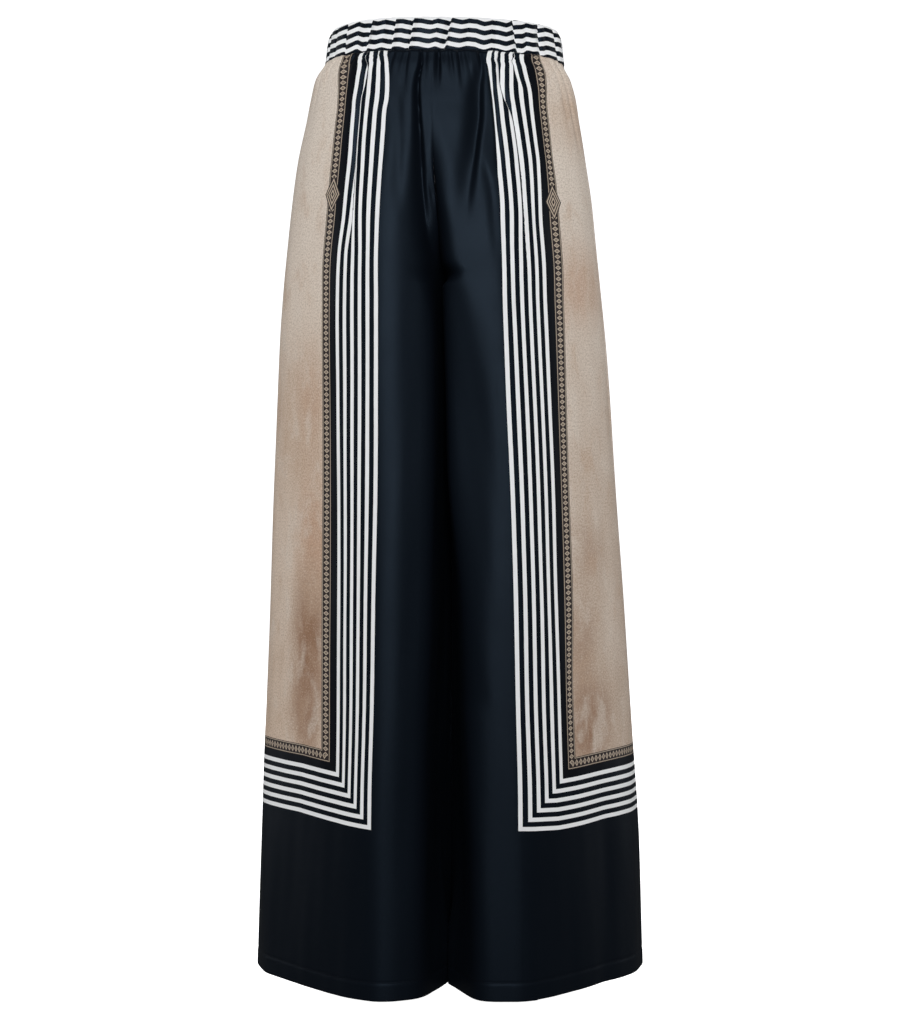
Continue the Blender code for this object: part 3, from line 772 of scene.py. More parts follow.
LEFT_GUIDE = (
    (38, 101, 99, 80.5, 71.5, 52),
    (42, 104.4, 102, 84.3, 74.8, 53.2),
    (44.7, 106.5, 103.6, 85.8, 76.5, 54.2),
    (49, 110.5, 107, 89.2, 79.5, 56),
    (54.5, 113.9, 109.3, 92.2, 81.5, 58),
    (61, 116.8, 112.6, 95.2, 83.2, 59.4),
    (69, 119.6, 115.2, 98.2, 84.2, 61.5),
    (79, 122.2, 118.3, 101.4, 84.5, 63.8),
    (92, 125.2, 120.9, 104.2, 86.1, 67),
    (102, 126.7, 122.5, 105.1, 87.6, 68.2),
    (120, 129.4, 125.1, 106.3, 89.5, 69.8),
    (138, 131.6, 127, 107.4, 90.8, 71.2),
    (157, 133.9, 129.2, 108.9, 92, 72.6),
    (175, 136.6, 131.9, 111.1, 94.8, 73.5),
    (193, 139, 134.2, 113.6, 97.8, 74.4),
    (211, 141.1, 136.2, 115.7, 100.5, 75.3),
    (228, 143.6, 138.5, 117.4, 102.7, 76),
    (265, 148.9, 144.7, 121.7, 105.8, 78),
    (320, 156.9, 151.9, 128.3, 112.4, 85.2),
    (362, 161.3, 155.8, 132, 115.5, 89.5),
    (430, 167, 161.2, 136.6, 119.8, 95.1),
    (539, 173.2, 167.6, 143.1, 125.9, 102.5),
    (647, 179.5, 173.9, 149.6, 133, 107.5),
    (756, 185.8, 180.2, 155.5, 138, 117.3),
    (840, 190.2, 184.1, 159, 141.8, 120.5),
    (900, 194.2, 188.1, 162.9, 145.5, 124),
)
GUIDE = {-1: RIGHT_GUIDE, 1: LEFT_GUIDE}
PRINT_FOOT = {  # distance from the side seam, drop of the lowest stripe's lower edge
    -1: ((0, 886), (50, 886.2), (117, 887.6), (151, 890.3), (197, 894.5), (240, 897.5)),
    1: ((0, 894.2), (50, 894.4), (78, 895.6), (126, 898.8), (150, 899.8), (200, 897.3)),
}
FOLD_LIP = 0.0001  # a swallowing fold hides its cloth within this distance
GUIDE_REACH = 1.0  # how far past its outer lines the guide goes on


def print_across(side, drop, from_seam, folds):
    """The print's own measure across the cloth. It falls by one metre for each metre from the
    side seam, stretched to meet the guide, and jumps at each fold that swallows cloth."""
    drops, *columns = np.array(GUIDE[side]).T / MM
    lines = np.array([through(drops, column, drop) for column in reversed(columns)])

    def swallowed(arc):
        return sum(
            ((1 - np.tanh((arc - place) / FOLD_LIP)) / 2 * hidden for place, *_, hidden in folds),
            np.zeros_like(arc),
        )

    values = np.array(GUIDE_LINES[side][::-1]) - swallowed(lines)
    lines = np.concatenate(([lines[0] - GUIDE_REACH], lines, [lines[-1] + GUIDE_REACH]))
    values = np.concatenate(([values[0] + GUIDE_REACH], values, [values[-1] - GUIDE_REACH]))
    return np.interp(from_seam, lines, values) + swallowed(from_seam)


def print_up(side, drop, from_seam):
    """The print's own measure up the cloth: height above its lowest stripe."""
    return np.interp(from_seam, *(np.array(PRINT_FOOT[side]).T / MM)) - drop


# %% [markdown]
# ## The waistband's gathers
# The casing is drawn in by elastic. At each gather its horizontal stripes step up or down, and
# between two gathers they sag a little. The steps are largest at the top edge.

# %% Waistband gathers
# A kink has the same shift before and after it, and a step doesn't.
# at: distance from the centre seam at mid height, towards the wearer's left. slant: how far the
# gather moves from the bottom edge to the top. before and after: how far the stripes are
# shifted up on either side of it. depth: of its valley.
STEP_COLUMNS = ("at", "slant", "before", "after", "depth")
FRONT_STEPS = (
    (-190, 0, 0.6, 0.6, 1),
    (-172, 2, -1.4, 1.2, 1.8),
    (-153, 2, -1.2, 1.4, 1.8),
    (-133.3, 2, -0.6, 0.8, 1.2),
    (-118.4, 2, 1.2, 1.2, 0),
    (-113.4, 3, 2.5, -1.2, 1.8),
    (-106, 4, -1, -1, 0),
    (-93.6, 2, 2.3, 2.3, 1.4),
    (-86, 3, -1.6, -1.8, 0),
    (-77.9, 8.5, -2, 2.3, 2.8),
    (-67.5, 6, -0.8, -0.8, 0),
    (-58.5, 5, 1.4, 1.4, 1.2),
    (-45.8, 5.5, -1.9, 1.7, 2.6),
    (-35.6, 5, 0.9, 0.9, 0.4),
    (-24.4, 6, -2.1, 2.2, 2.6),
    (-13.9, 5, 0.9, 0.9, 0),
    (-2.7, 3, -1.6, -1.6, 0),
    (3.9, 4, 1.1, 1.1, 1),
    (16.6, 8, -2.4, 2.7, 3.2),
    (30.4, 4, -0.7, -0.7, 0),
    (37.3, 3, 2.1, 2.1, 1.6),
    (46, 3, 1, 1, 0),
    (54.4, 1, -2.2, -2.2, 0),
    (62.2, 1, 1.1, 1.1, 0.4),
    (66.5, 1, 0.8, 0.8, 1.8),
    (76.8, 0, -2, -2, 0),
    (85.9, -5.5, 3.8, -3.6, 3.2),
    (93.8, -3, -2.2, -2.2, 0),
    (98.3, -1, 1.7, 1.7, 1.6),
    (105, -1, 0.3, 0.3, 0),
    (113.6, -3, 3, -3.4, 3.2),
    (122.6, -2, 0.5, 0.5, 1.2),
    (136, -4, 0, 0, 0),
    (142, -8, 0.6, -2.6, 2.8),
    (160, 0, 0, 0, 1),
)
BACK_STEPS = 9  # on each side
BACK_STEP_TURNS = (2.1, 2.7)  # of the two sides, so that they differ
BAND_SAG = 0.0003
BAND_WALL = 0.0026
BAND_EDGE_RADIUS = 0.0013
BAND_VALLEY = 0.0028  # half width of a gather's valley
BAND_GENTLE, BAND_STEEP = 0.75, 1.6
SHIFT_AT_FOOT, SHIFT_TOWARDS_TOP = 0.56, 0.26
ALLOWANCE = 0.0045  # a seam's turned-in cloth, a ledge inside each sewn edge
SEAM_WAVE = 0.81  # share of the shift at its foot that the band's lower seam really moves
SEAM_WAVE_LIMIT = 0.0013
SEAM_WAVE_REACH = 0.003


def band_steps(face, half_widths):
    """The steps of half the waistband. The back's follow a rule, mirrored at the centre."""
    if face == "front":
        return table(STEP_COLUMNS, FRONT_STEPS)
    k = np.arange(BACK_STEPS)
    rows = []
    for side, width, turn in zip((-1, 1), half_widths, BACK_STEP_TURNS):
        at = side * width * (k + 0.5 + 0.2 * np.sin(turn * k)) / BACK_STEPS
        low = -0.0012 - 0.0004 * np.cos(3 * turn * k)
        high = 0.0014 + 0.0006 * np.sin(turn * k)
        slant = 0.003 + 0.003 * np.sin(1.3 * k)
        depth = 0.0022 + 0.0006 * np.cos(turn * k)
        rows.append(np.column_stack((at, slant, *(low, high)[::-side], depth)))
    rows = np.concatenate(rows)
    return dict(zip(STEP_COLUMNS, rows[np.argsort(rows[:, 0])].T))


def step_places(steps, height):
    """Where the gathers stand at one height of the band."""
    return steps["at"] + steps["slant"] * (height / BAND_HEIGHT - 0.5)


def stripe_shift(steps, at, height):
    """How far the stripes are shifted up: straight from one gather to the next, less a sag."""
    places = step_places(steps, height)
    k = np.clip(np.searchsorted(places, at), 1, len(places) - 1)
    t = np.clip((at - places[k - 1]) / (places[k] - places[k - 1]), 0.0, 1.0)
    line = steps["after"][k - 1] * (1 - t) + steps["before"][k] * t
    share = SHIFT_AT_FOOT + SHIFT_TOWARDS_TOP * height / BAND_HEIGHT
    return (line - BAND_SAG * 4 * t * (1 - t)) * share


def step_valleys(steps, at, height):
    """The valleys of the gathers, each a sharp bell with a gentler flank on the centre's side."""
    places = step_places(steps, height)
    away = (at[:, None] - places[None, :]) / BAND_VALLEY
    steep = np.where(away * np.sign(places)[None, :] < 0, BAND_GENTLE, BAND_STEEP)
    return -(np.exp(-((away * steep) ** 2)) * steps["depth"]).sum(axis=1)


def seam_wave(steps, at):
    """How far the seam below the waistband moves up and down with the gathers: the shift at
    its foot, averaged over a few millimetres."""
    nudges = np.linspace(-SEAM_WAVE_REACH, SEAM_WAVE_REACH, 5)
    smooth = sum(stripe_shift(steps, at + nudge, 0.0) for nudge in nudges) / len(nudges)
    return np.clip(SEAM_WAVE * smooth, -SEAM_WAVE_LIMIT, SEAM_WAVE_LIMIT)


# %% [markdown]
# ## Cloth grids
# Each piece is a grid of points: rows are level sections, columns run from the centre seam to
# the side seam. The inner skin lies one cloth thickness inside the outer one, and a rim joins
# them, so every piece is closed.

# %% Columns and rows
COLUMNS = 190
ROW_STRETCHES = (  # from, to, rows
    (BAND_HEIGHT, 0.1, 30), (0.1, 0.345, 72), (0.345, 1.05, 96), (1.05, 1.08, 18),
)
LAST_ROWS = (1.08, 1.0809, 1.0815, LENGTH)
EASES_FROM, EASES_TO = 0.185, 0.345  # drops between which the columns pass the crotch
EDGE_FOLLOWING = 5
CREASE_SIDE = 0.0003  # a crease's column stands this far on the centre's side of it
CREASE_PULL, CREASE_WIDTH = 0.65, 3.0  # how much closer its neighbours stand, and how many
STEEPEST = 1.2  # slope up to which the wall turns with a fold


def row_drops():
    """Drops of a panel's rows: close together at the waist and at the hem."""
    drops = [np.linspace(*stretch, endpoint=False) for stretch in ROW_STRETCHES]
    return np.concatenate((*drops, LAST_ROWS))


def panel_width(face, side, drop):
    """Arc length from the centre seam to the side seam."""
    _, arc, side_arc = half_section(side, drop)
    return side_arc if face == "front" else arc[-1] - side_arc


def arc_shares(face, side, drop, share):
    """Where the columns stand, as shares of the arc. Round the crotch the edge runs inwards
    fast, so the columns widen evenly there and only those next to the edge follow it."""
    if not EASES_FROM < drop < EASES_TO:
        return share
    start, end, real = (panel_width(face, side, d) for d in (EASES_FROM, EASES_TO, drop))
    even = start + (end - start) * (drop - EASES_FROM) / (EASES_TO - EASES_FROM)
    from_side = 1.0 - share
    return 1.0 - (from_side * even + (real - even) * from_side**EDGE_FOLLOWING) / real


def crease_paths(face, side, share):
    """For each fold that swallows cloth: the column that follows it, and how far the fold lies
    from that column's plain place, at each drop of its path."""
    paths = []
    for rows in FOLDS[face, side]:
        path = table(FOLD_COLUMNS, rows)
        if path["hidden"].max() > 0:
            plain_places = np.array([
                panel_width(face, side, drop) * (1.0 - arc_shares(face, side, drop, share))
                for drop in path["drop"]
            ])
            column = int(np.abs(plain_places - path["arc"][:, None]).sum(axis=0).argmin())
            shifts = path["arc"] + CREASE_SIDE - plain_places[:, column]
            paths.append((column, path["drop"], shifts))
    return sorted(paths, key=lambda path: path[0])


def follow_creases(paths, drop, from_seam):
    """Moves the columns so that one runs along each crease, with its neighbours close by, and
    the columns between two creases share out the difference."""
    index = np.arange(len(from_seam))
    columns = [0, *(path[0] for path in paths), len(from_seam) - 1]
    shifts = [0.0, *(np.interp(drop, path[1], path[2]) for path in paths), 0.0]
    moved = from_seam + np.interp(index, columns, shifts)
    for column, _, _ in paths:
        pull = CREASE_PULL * np.exp(-(((index - column) / CREASE_WIDTH) ** 2))
        moved += (moved[column] - moved) * pull
    return moved


def middle_line(face, side, drop, share, paths=()):
    """A panel's line at one drop: points, outward directions, arc distances from the centre
    seam, and the panel's width there."""
    points, arc, side_arc = half_section(side, drop)
    turn = side
    if face == "back":
        points, side_arc, arc = points[::-1], arc[-1] - side_arc, (arc[-1] - arc)[::-1]
        turn = -side
    arcs = SEAM_GAP / 2 + arc_shares(face, side, drop, share) * (side_arc - SEAM_GAP)
    arcs = side_arc - follow_creases(paths, drop, side_arc - arcs)
    along = np.gradient(points, arc, axis=0)
    along /= np.linalg.norm(along, axis=1)[:, None]
    outward = np.column_stack((along[:, 1], -along[:, 0])) * turn
    middle = np.column_stack([np.interp(arcs, arc, v) for v in points.T])
    outward = np.column_stack([np.interp(arcs, arc, v) for v in outward.T])
    return middle, outward, arcs, side_arc, turn


def fold_line(middle, outward, arcs, turn, offset, half_wall, wall):
    """Outer and inner points of one row, once its folds are in. The wall turns with the folds'
    slopes, except at the seams."""
    tilt = np.gradient(offset, arcs)
    tilt[[0, -1]] = 0.0
    along = np.column_stack((-outward[:, 1], outward[:, 0])) * turn
    folded = outward - along * np.clip(tilt, -STEEPEST, STEEPEST)[:, None]
    folded /= np.linalg.norm(folded, axis=1)[:, None]
    skin = middle + outward * (offset + half_wall)[:, None]
    return skin, skin - folded * wall


def stand(row, z, drop, side):
    """A row's points in space, leaning as the section does."""
    return np.column_stack((lean(row[:, 0], row[:, 1], drop, side), row[:, 1], z))


# %% Panel grids
PHASES = {"front_right": 0.0, "front_left": 1.7, "back_right": 3.0, "back_left": 4.6}
WAVE_FADE = 0.02  # the seam's wave dies out this far below it
PLANE_FOLD_FADE = 0.0015  # folds near the centre leave its seam alone


def panel_grid(face, side):
    """Outer and inner points of a panel, its print measures, and its distances from the side
    seam and above the hem."""
    width = panel_width(face, side, BAND_HEIGHT)
    name = f"{face}_{'left' if side > 0 else 'right'}"
    gathers = gathers_of(name, width)
    steps = band_steps(face, [panel_width(face, s, BAND_HEIGHT / 2) for s in (-1, 1)])
    share = np.linspace(0.0, 1.0, COLUMNS)
    paths = crease_paths(face, side, share)
    outer, inner, prints, edges = [], [], [], []
    for drop in row_drops():
        level = max(drop, BAND_HEIGHT + SEAM_GAP / 2)
        middle, outward, arcs, side_arc, turn = middle_line(face, side, level, share, paths)
        from_seam = side_arc - arcs
        off = np.abs(middle[:, 0])
        folds = list(at_drop(FOLDS[face, side], FOLD_COLUMNS, level))
        offset = gather_offset(gathers, arcs, level, side_arc / width)
        offset += fold_offset(folds, from_seam) + ripple(from_seam, level, PHASES[name])
        offset += puff_offset(from_seam, level)
        fade = ease(arcs, 0.0, PLANE_FOLD_FADE)
        offset += plane_fold_offset(face, side, level, off) * fade
        offset += seam_offset(arcs, side_arc, level) + hem_offset(level)
        skin, lining = fold_line(middle, outward, arcs, turn, offset, SOLID_WALL / 2, CLOTH)
        fall = shoulder_fall(face, side, level, off, arcs)
        skin[:, 1] += fall
        lining[:, 1] += fall
        lining[[0, -1]] -= outward[[0, -1]] * ALLOWANCE
        over_plane = skin[:, 0] * side < SEAM_GAP / 2
        skin[over_plane, 0] = side * SEAM_GAP / 2
        lift = HEM_RISE * ease(share, *HEM_RISE_SHARES) * ease(level, HEM_RISE_START, LENGTH)
        wave_share = 1.0 - ease(level, BAND_HEIGHT, BAND_HEIGHT + WAVE_FADE)
        z = BAND_HEIGHT / 2 - level + lift + seam_wave(steps, side * arcs) * wave_share
        outer.append(stand(skin, z, level, side))
        inner.append(stand(lining, z, level, side))
        across = print_across(side, level, from_seam, folds)
        prints.append(np.column_stack((across, print_up(side, level, from_seam))))
        edges.append(np.column_stack((from_seam, np.full_like(from_seam, LENGTH - level))))
    return [np.array(grid) for grid in (outer, inner, prints, edges)]


# %% Waistband grids
BAND_COLUMNS = 210
BAND_FIRST_ROW, BAND_LAST_ROWS = 0.00003, (0.037, 0.0376, BAND_HEIGHT)
BAND_MIDDLE_ROWS = (0.003, 0.036, 24)  # from, to, rows
BAND_OUT = 0.0008  # how far the band stands out past the CAD's own line
BAND_SEAM_SHARE = 0.6  # of a panel's seam dip, at the band's side seams
BAND_FOOT_ROUND = 0.85  # how far its lower edge is rounded
FOOT_VALLEY_LOSS, FOOT_VALLEY_FROM = 0.35, 0.026  # its valleys are flatter at the foot
TOP_VALLEY_SHARE, TOP_VALLEY_TO = 0.55, 0.008  # and at the top
BAND_WAVE_FROM = 0.012  # drop from which the band's rows follow its lower seam


def band_rows():
    """Drops of the band's rows, closer together round its folded top edge."""
    turn = np.linspace(0.0, math.pi / 2, 7)[1:]
    top = BAND_EDGE_RADIUS * (1.0 - np.cos(turn))
    middle = np.linspace(*BAND_MIDDLE_ROWS)
    return np.concatenate(([BAND_FIRST_ROW], top, middle, BAND_LAST_ROWS))


def band_grid(face):
    """Outer and inner points of half of the waistband, with its print measures: along it, and
    up its outer face, over the top and down its inner face."""
    steps = band_steps(face, [panel_width(face, s, BAND_HEIGHT / 2) for s in (-1, 1)])
    share = np.linspace(0.0, 1.0, BAND_COLUMNS)
    outer, inner, outer_print, inner_print = [], [], [], []
    for drop in band_rows():
        level = min(drop, BAND_HEIGHT - SEAM_GAP / 2)
        height = BAND_HEIGHT - level
        top, foot = (max(1.0 - edge / BAND_EDGE_RADIUS, 0.0) for edge in (level, height))
        half_wall = BAND_WALL / 2 * math.sqrt(1.0 - max(top, BAND_FOOT_ROUND * foot) ** 2)
        deep = 1.0 - FOOT_VALLEY_LOSS * ease(level, FOOT_VALLEY_FROM, BAND_HEIGHT)
        deep *= TOP_VALLEY_SHARE + (1 - TOP_VALLEY_SHARE) * ease(level, 0.0, TOP_VALLEY_TO)
        halves = []
        for side in (-1, 1):
            middle, outward, arcs, side_arc, turn = middle_line(face, side, level, share)
            at = side * arcs
            offset = step_valleys(steps, at, height) * deep + BAND_OUT
            offset += seam_offset(side_arc - arcs, 1.0, 0.0) * BAND_SEAM_SHARE
            skin, lining = fold_line(middle, outward, arcs, turn, offset, half_wall, 2 * half_wall)
            lining -= outward * ALLOWANCE * (drop == BAND_HEIGHT)
            wave = seam_wave(steps, at) * ease(level, BAND_WAVE_FROM, BAND_HEIGHT)
            z = BAND_HEIGHT / 2 - level + wave
            row = (
                stand(skin, z, level, side),
                stand(lining, z, level, side),
                np.column_stack((at, stripe_shift(steps, at, height))),
            )
            order = slice(None, None, -1) if side < 0 else slice(1, None)
            halves.append([part[order] for part in row])
        skin, lining, measures = (np.concatenate(parts) for parts in zip(*halves))
        along, shift = measures.T
        outer.append(skin)
        inner.append(lining)
        outer_print.append(np.column_stack((along, height - shift)))
        inner_print.append(np.column_stack((along, 2 * BAND_HEIGHT - height - shift)))
    inner_print[-1] = outer_print[-1]
    return [np.array(grid) for grid in (outer, inner, outer_print, inner_print)]


# %% [markdown]
# ## From grids to meshes
# `add_cloth` makes one closed mesh out of two grids and stores the print measures as a UV map.
# The inner skin gets its own material, because silk is printed on one side and paler on the
# other.

# %% Mesh maker
SHARP_ANGLE = math.radians(60)


def quads(a, b, c, d):
    return np.stack((a.ravel(), b.ravel(), c.ravel(), d.ravel()), axis=1)


def shell_faces(rows, columns):
    """Faces of the closed shell: outer skin, inner skin, then the rim. The skins come first."""
    index = np.arange(rows * columns).reshape(rows, columns)
    other = index + rows * columns
    outer = quads(index[:-1, :-1], index[1:, :-1], index[1:, 1:], index[:-1, 1:])
    inner = quads(other[:-1, :-1], other[:-1, 1:], other[1:, 1:], other[1:, :-1])
    rim = (
        quads(index[0, :-1], index[0, 1:], other[0, 1:], other[0, :-1]),
        quads(index[-1, :-1], other[-1, :-1], other[-1, 1:], index[-1, 1:]),
        quads(index[:-1, 0], other[:-1, 0], other[1:, 0], index[1:, 0]),
        quads(index[:-1, -1], index[1:, -1], other[1:, -1], other[:-1, -1]),
    )
    return np.concatenate((outer, inner, *rim)), len(outer)


def points_out(vertices, faces):
    """True when the shell's signed volume is positive."""
    a, b, c, d = (vertices[faces[:, i]] for i in range(4))
    return np.sum(a * np.cross(b, c)) + np.sum(a * np.cross(c, d)) > 0


def add_cloth(name, outer, inner, uv_layers, materials):
    """A closed cloth object. uv_layers: name, outer grid and inner grid of each UV map.
    materials: of the outer skin and rim, and of the inner skin."""
    rows, columns = outer.shape[:2]
    vertices = np.concatenate((outer.reshape(-1, 3), inner.reshape(-1, 3)))
    faces, skin_faces = shell_faces(rows, columns)
    if not points_out(vertices, faces):
        faces = faces[:, ::-1]
    mesh = bpy.data.meshes.new(name)
    mesh.vertices.add(len(vertices))
    mesh.vertices.foreach_set("co", vertices.ravel())
    mesh.loops.add(faces.size)
    mesh.loops.foreach_set("vertex_index", faces.ravel())
    mesh.polygons.add(len(faces))
    mesh.polygons.foreach_set("loop_start", np.arange(0, faces.size, 4))
    mesh.polygons.foreach_set("loop_total", np.full(len(faces), 4))
    for layer_name, outer_uv, inner_uv in uv_layers:
        at_vertex = np.concatenate((outer_uv.reshape(-1, 2), inner_uv.reshape(-1, 2)))
        layer = mesh.uv_layers.new(name=layer_name)
        layer.data.foreach_set("uv", at_vertex[faces.ravel()].ravel())
    for material in materials:
        mesh.materials.append(material)
    material_index = np.zeros(len(faces), dtype=np.int32)
    material_index[skin_faces:2 * skin_faces] = 1
    mesh.polygons.foreach_set("material_index", material_index)
    mesh.update(calc_edges=True)
    mesh.shade_smooth()
    mesh.set_sharp_from_angle(angle=SHARP_ANGLE)
    piece = add_object(name, mesh)
    print(name, "triangles:", 2 * len(faces))
    return piece


# %% [markdown]
# ## Materials
# A field is a number that varies over the cloth. Arithmetic on fields adds shader nodes, so a
# pattern reads like a formula on the print's own measures. Fixed numbers such as the gloss are
# set on the shader itself.

# %% Fields and nodes


class Field:
    """One node's output. Comparisons give a mask: 1 where they hold, 0 elsewhere."""

    def __init__(self, nodes, socket):
        self.nodes = nodes
        self.socket = socket

    def inside(self, low, high):
        """1 where low < value < high."""
        return (self > low) * (self < high)

    def smooth(self, low, high):
        """An S from 0 at low to 1 at high."""
        values = (self, low, high, 0.0, 1.0)
        return self.nodes.add("ShaderNodeMapRange", values, interpolation_type="SMOOTHSTEP")


def math_method(operation):
    return lambda self, *values: self.nodes.math(operation, self, *values)


for method, operation in (
    ("__add__", "ADD"), ("__sub__", "SUBTRACT"), ("__mul__", "MULTIPLY"),
    ("__truediv__", "DIVIDE"), ("__gt__", "GREATER_THAN"), ("__lt__", "LESS_THAN"),
    ("__abs__", "ABSOLUTE"), ("fraction", "FRACT"),
):
    setattr(Field, method, math_method(operation))


class Nodes:
    """Adds nodes to one material, left to right."""

    def __init__(self, name):
        self.material = bpy.data.materials.new(name)
        self.material.use_nodes = True
        self.tree = self.material.node_tree
        self.shader = self.tree.nodes["Principled BSDF"]
        self.count = 0

    def plug(self, socket, value):
        """Links a field to a socket, or sets a fixed value there."""
        if isinstance(value, Field):
            self.tree.links.new(value.socket, socket)
        else:
            socket.default_value = value

    def add(self, kind, inputs=(), output=0, **settings):
        """One node's output. inputs: by name in a dict, or in order."""
        node = self.tree.nodes.new(kind)
        node.location = (-2600 + 170 * (self.count % 14), 500 - 190 * (self.count // 14))
        self.count += 1
        for key, value in settings.items():
            setattr(node, key, value)
        for key, value in inputs.items() if isinstance(inputs, dict) else enumerate(inputs):
            self.plug(node.inputs[key], value)
        return Field(self, node.outputs[output])

    def math(self, operation, *values):
        return self.add("ShaderNodeMath", values, operation=operation)

    def mix(self, share, a, b):
        return self.add("ShaderNodeMix", {"Factor": share, 6: a, 7: b}, 2, data_type="RGBA")

    def noise(self, vector, scale, detail, roughness=0.55, distortion=0.0):
        inputs = {"Vector": vector, "Scale": scale, "Detail": detail}
        inputs |= {"Roughness": roughness, "Distortion": distortion}
        return self.add("ShaderNodeTexNoise", inputs, "Fac")

    def combine(self, x, y, z=0.0):
        return self.add("ShaderNodeCombineXYZ", (x, y, z))

    def uv(self, layer):
        """A UV map as a vector, and its two measures."""
        vector = self.add("ShaderNodeUVMap", uv_map=layer)
        first = self.add("ShaderNodeSeparateXYZ", (vector,))
        return vector, first, Field(self, first.socket.node.outputs[1])


def srgb(red, green, blue):
    """A colour given as 0 to 255, as Blender's linear numbers."""
    share = np.array((red, green, blue)) / 255.0
    linear = np.where(share <= 0.04045, share / 12.92, ((share + 0.055) / 1.055) ** 2.4)
    return (*linear.tolist(), 1.0)


# %% Colours
NAVY = srgb(8, 12, 18)
DEEP_NAVY = srgb(8, 8, 12)
WHITE = srgb(232, 233, 234)
REVERSE_TINT = srgb(150, 152, 156)
BEIGE_HIGH = srgb(213, 202, 190)
BEIGE_PALE = srgb(226, 215, 203)
BEIGE_TAN = srgb(182, 154, 130)
BEIGE_GRAIN = srgb(134, 114, 98)
# Lower beige: its own browner tone with painted shade, for light falling off towards the hem
BEIGE_LOW_SHADED = {"right": srgb(204, 183, 164), "left": srgb(190, 171, 154)}
RUST = srgb(176, 132, 100)
UMBER = srgb(142, 106, 80)
BAND_BROWN = srgb(46, 39, 37)
CREAM = srgb(176, 161, 144)

# %% [markdown]
# The weave is silk twill: fine ridges at 45 degrees, 0.5 mm apart, far too small to see from a
# step away but there up close. A coarser, fainter noise keeps the sheen from being even.

# %% Weave
TWILL_PITCH = 0.0005
TWILL_HEIGHT, TWILL_STRENGTH = 0.00003, 0.35
SLUB_SCALE = 900.0
STITCH_HEIGHT = 6.0  # in the same units as the twill
SILK_GLOSS, SILK_TINT = 0.145, (0.5, 0.72, 1.0, 1.0)


def add_weave(nodes, vector, u, v, stitches=None):
    """Bump from the twill and from slubs in the yarn, and from stitches on top of it."""
    ridge = nodes.math("SINE", (u + v) * (2 * math.pi / TWILL_PITCH))
    height = ridge * 0.5 + nodes.noise(vector, SLUB_SCALE, 2.0)
    if stitches is not None:
        height += stitches * STITCH_HEIGHT
    inputs = {"Strength": TWILL_STRENGTH, "Distance": TWILL_HEIGHT, "Height": height}
    nodes.plug(nodes.shader.inputs["Normal"], nodes.add("ShaderNodeBump", inputs))


def finish_silk(nodes, colour, roughness):
    """Colour and gloss of the silk."""
    nodes.plug(nodes.shader.inputs["Base Color"], colour)
    nodes.plug(nodes.shader.inputs["Roughness"], roughness)
    nodes.shader.inputs["Specular IOR Level"].default_value = SILK_GLOSS
    nodes.shader.inputs["Specular Tint"].default_value = SILK_TINT
    return nodes.material


# %% [markdown]
# ### The printed silk
# The stripes, the narrow band and the beige panel are nested frames. `depth` is how deep a point
# lies inside them: the smaller of the print's two measures. The larger one runs along them.

# %% Ornament
BAND_FROM, BAND_TO = 0.0633, PANEL_EDGE
BAND_CENTRE = (BAND_FROM + BAND_TO) / 2
MOTIF_PITCH = 0.0062
LOZENGE_HALF = 0.0042
LOZENGE_SLOPE = 2.1
LOZENGE_RING, LOZENGE_HEART = (0.42, 0.92), 0.2  # as shares of its size
BORDER_LINE = (0.0048, 0.0056)  # from the band's middle
ROSETTE_UP = 0.69  # height of the large lozenge above the print's foot
ROSETTE_HALF = (0.0105, 0.021)  # half its width and half its height
ROSETTE_RINGS = 3.5


def lozenge_chain(nodes, depth, along):
    """The narrow band's ornament: a chain of lozenges with dots between, and two thin lines."""
    off = abs(depth - BAND_CENTRE)
    turn = abs((along / MOTIF_PITCH).fraction() - 0.5)
    size = off / LOZENGE_HALF + turn * LOZENGE_SLOPE
    lozenge = nodes.math("MAXIMUM", size.inside(*LOZENGE_RING), size < LOZENGE_HEART)
    return nodes.math("MAXIMUM", lozenge, off.inside(*BORDER_LINE))


def rosette(across, up):
    """One large lozenge of nested lozenges: a mask of where it lies, and its light rings."""
    size = abs(across - BAND_CENTRE) / ROSETTE_HALF[0] + abs(up - ROSETTE_UP) / ROSETTE_HALF[1]
    light = ((size * ROSETTE_RINGS).fraction() > 0.5) * (size < 0.98)
    return size < 1.0, light


# %% Beige ground
# Stains on the beige of each leg: place across and up, half width and half height, strength, tint
STAINS = {
    "right": (
        ((0.12, 0.44), (0.11, 0.15), 0.6, BEIGE_TAN),
        ((0.095, 0.46), (0.04, 0.09), 0.3, RUST),
        ((0.09, 0.31), (0.05, 0.11), 0.6, RUST),
        ((0.098, 0.19), (0.052, 0.12), 1.0, UMBER),
        ((0.104, 0.11), (0.046, 0.08), 0.8, UMBER),
        ((0.15, 0.23), (0.04, 0.15), 0.2, BEIGE_PALE),
    ),
    "left": (
        ((0.125, 0.79), (0.09, 0.07), 0.6, BEIGE_TAN),
        ((0.11, 0.6), (0.075, 0.075), 0.42, RUST),
        ((0.096, 0.59), (0.03, 0.05), 0.22, RUST),
        ((0.1, 0.3), (0.05, 0.05), 0.35, UMBER),
        ((0.09, 0.2), (0.035, 0.08), 0.5, UMBER),
        ((0.1, 0.11), (0.06, 0.07), 1.0, UMBER),
        ((0.15, 0.22), (0.04, 0.09), 0.3, BEIGE_PALE),
    ),
}
LEFT_SEED = 0.37  # moves the left leg's clouds, so that the legs differ
# Below these heights the ground is darker: its own tone with painted shade towards the hem
PALE_FROM, PALE_TO = 0.1, 0.85  # heights between which the ground turns pale
STAIN_EDGE, STAIN_CORE = 1.0, 0.1  # a stain fades from its core to its edge


def stain(nodes, across, up, place, size):
    """A soft round patch: 1 at its centre and 0 past its size."""
    x, y = ((field - at) / half for field, at, half in zip((across, up), place, size))
    return nodes.math("SQRT", x * x + y * y).smooth(STAIN_EDGE, STAIN_CORE)


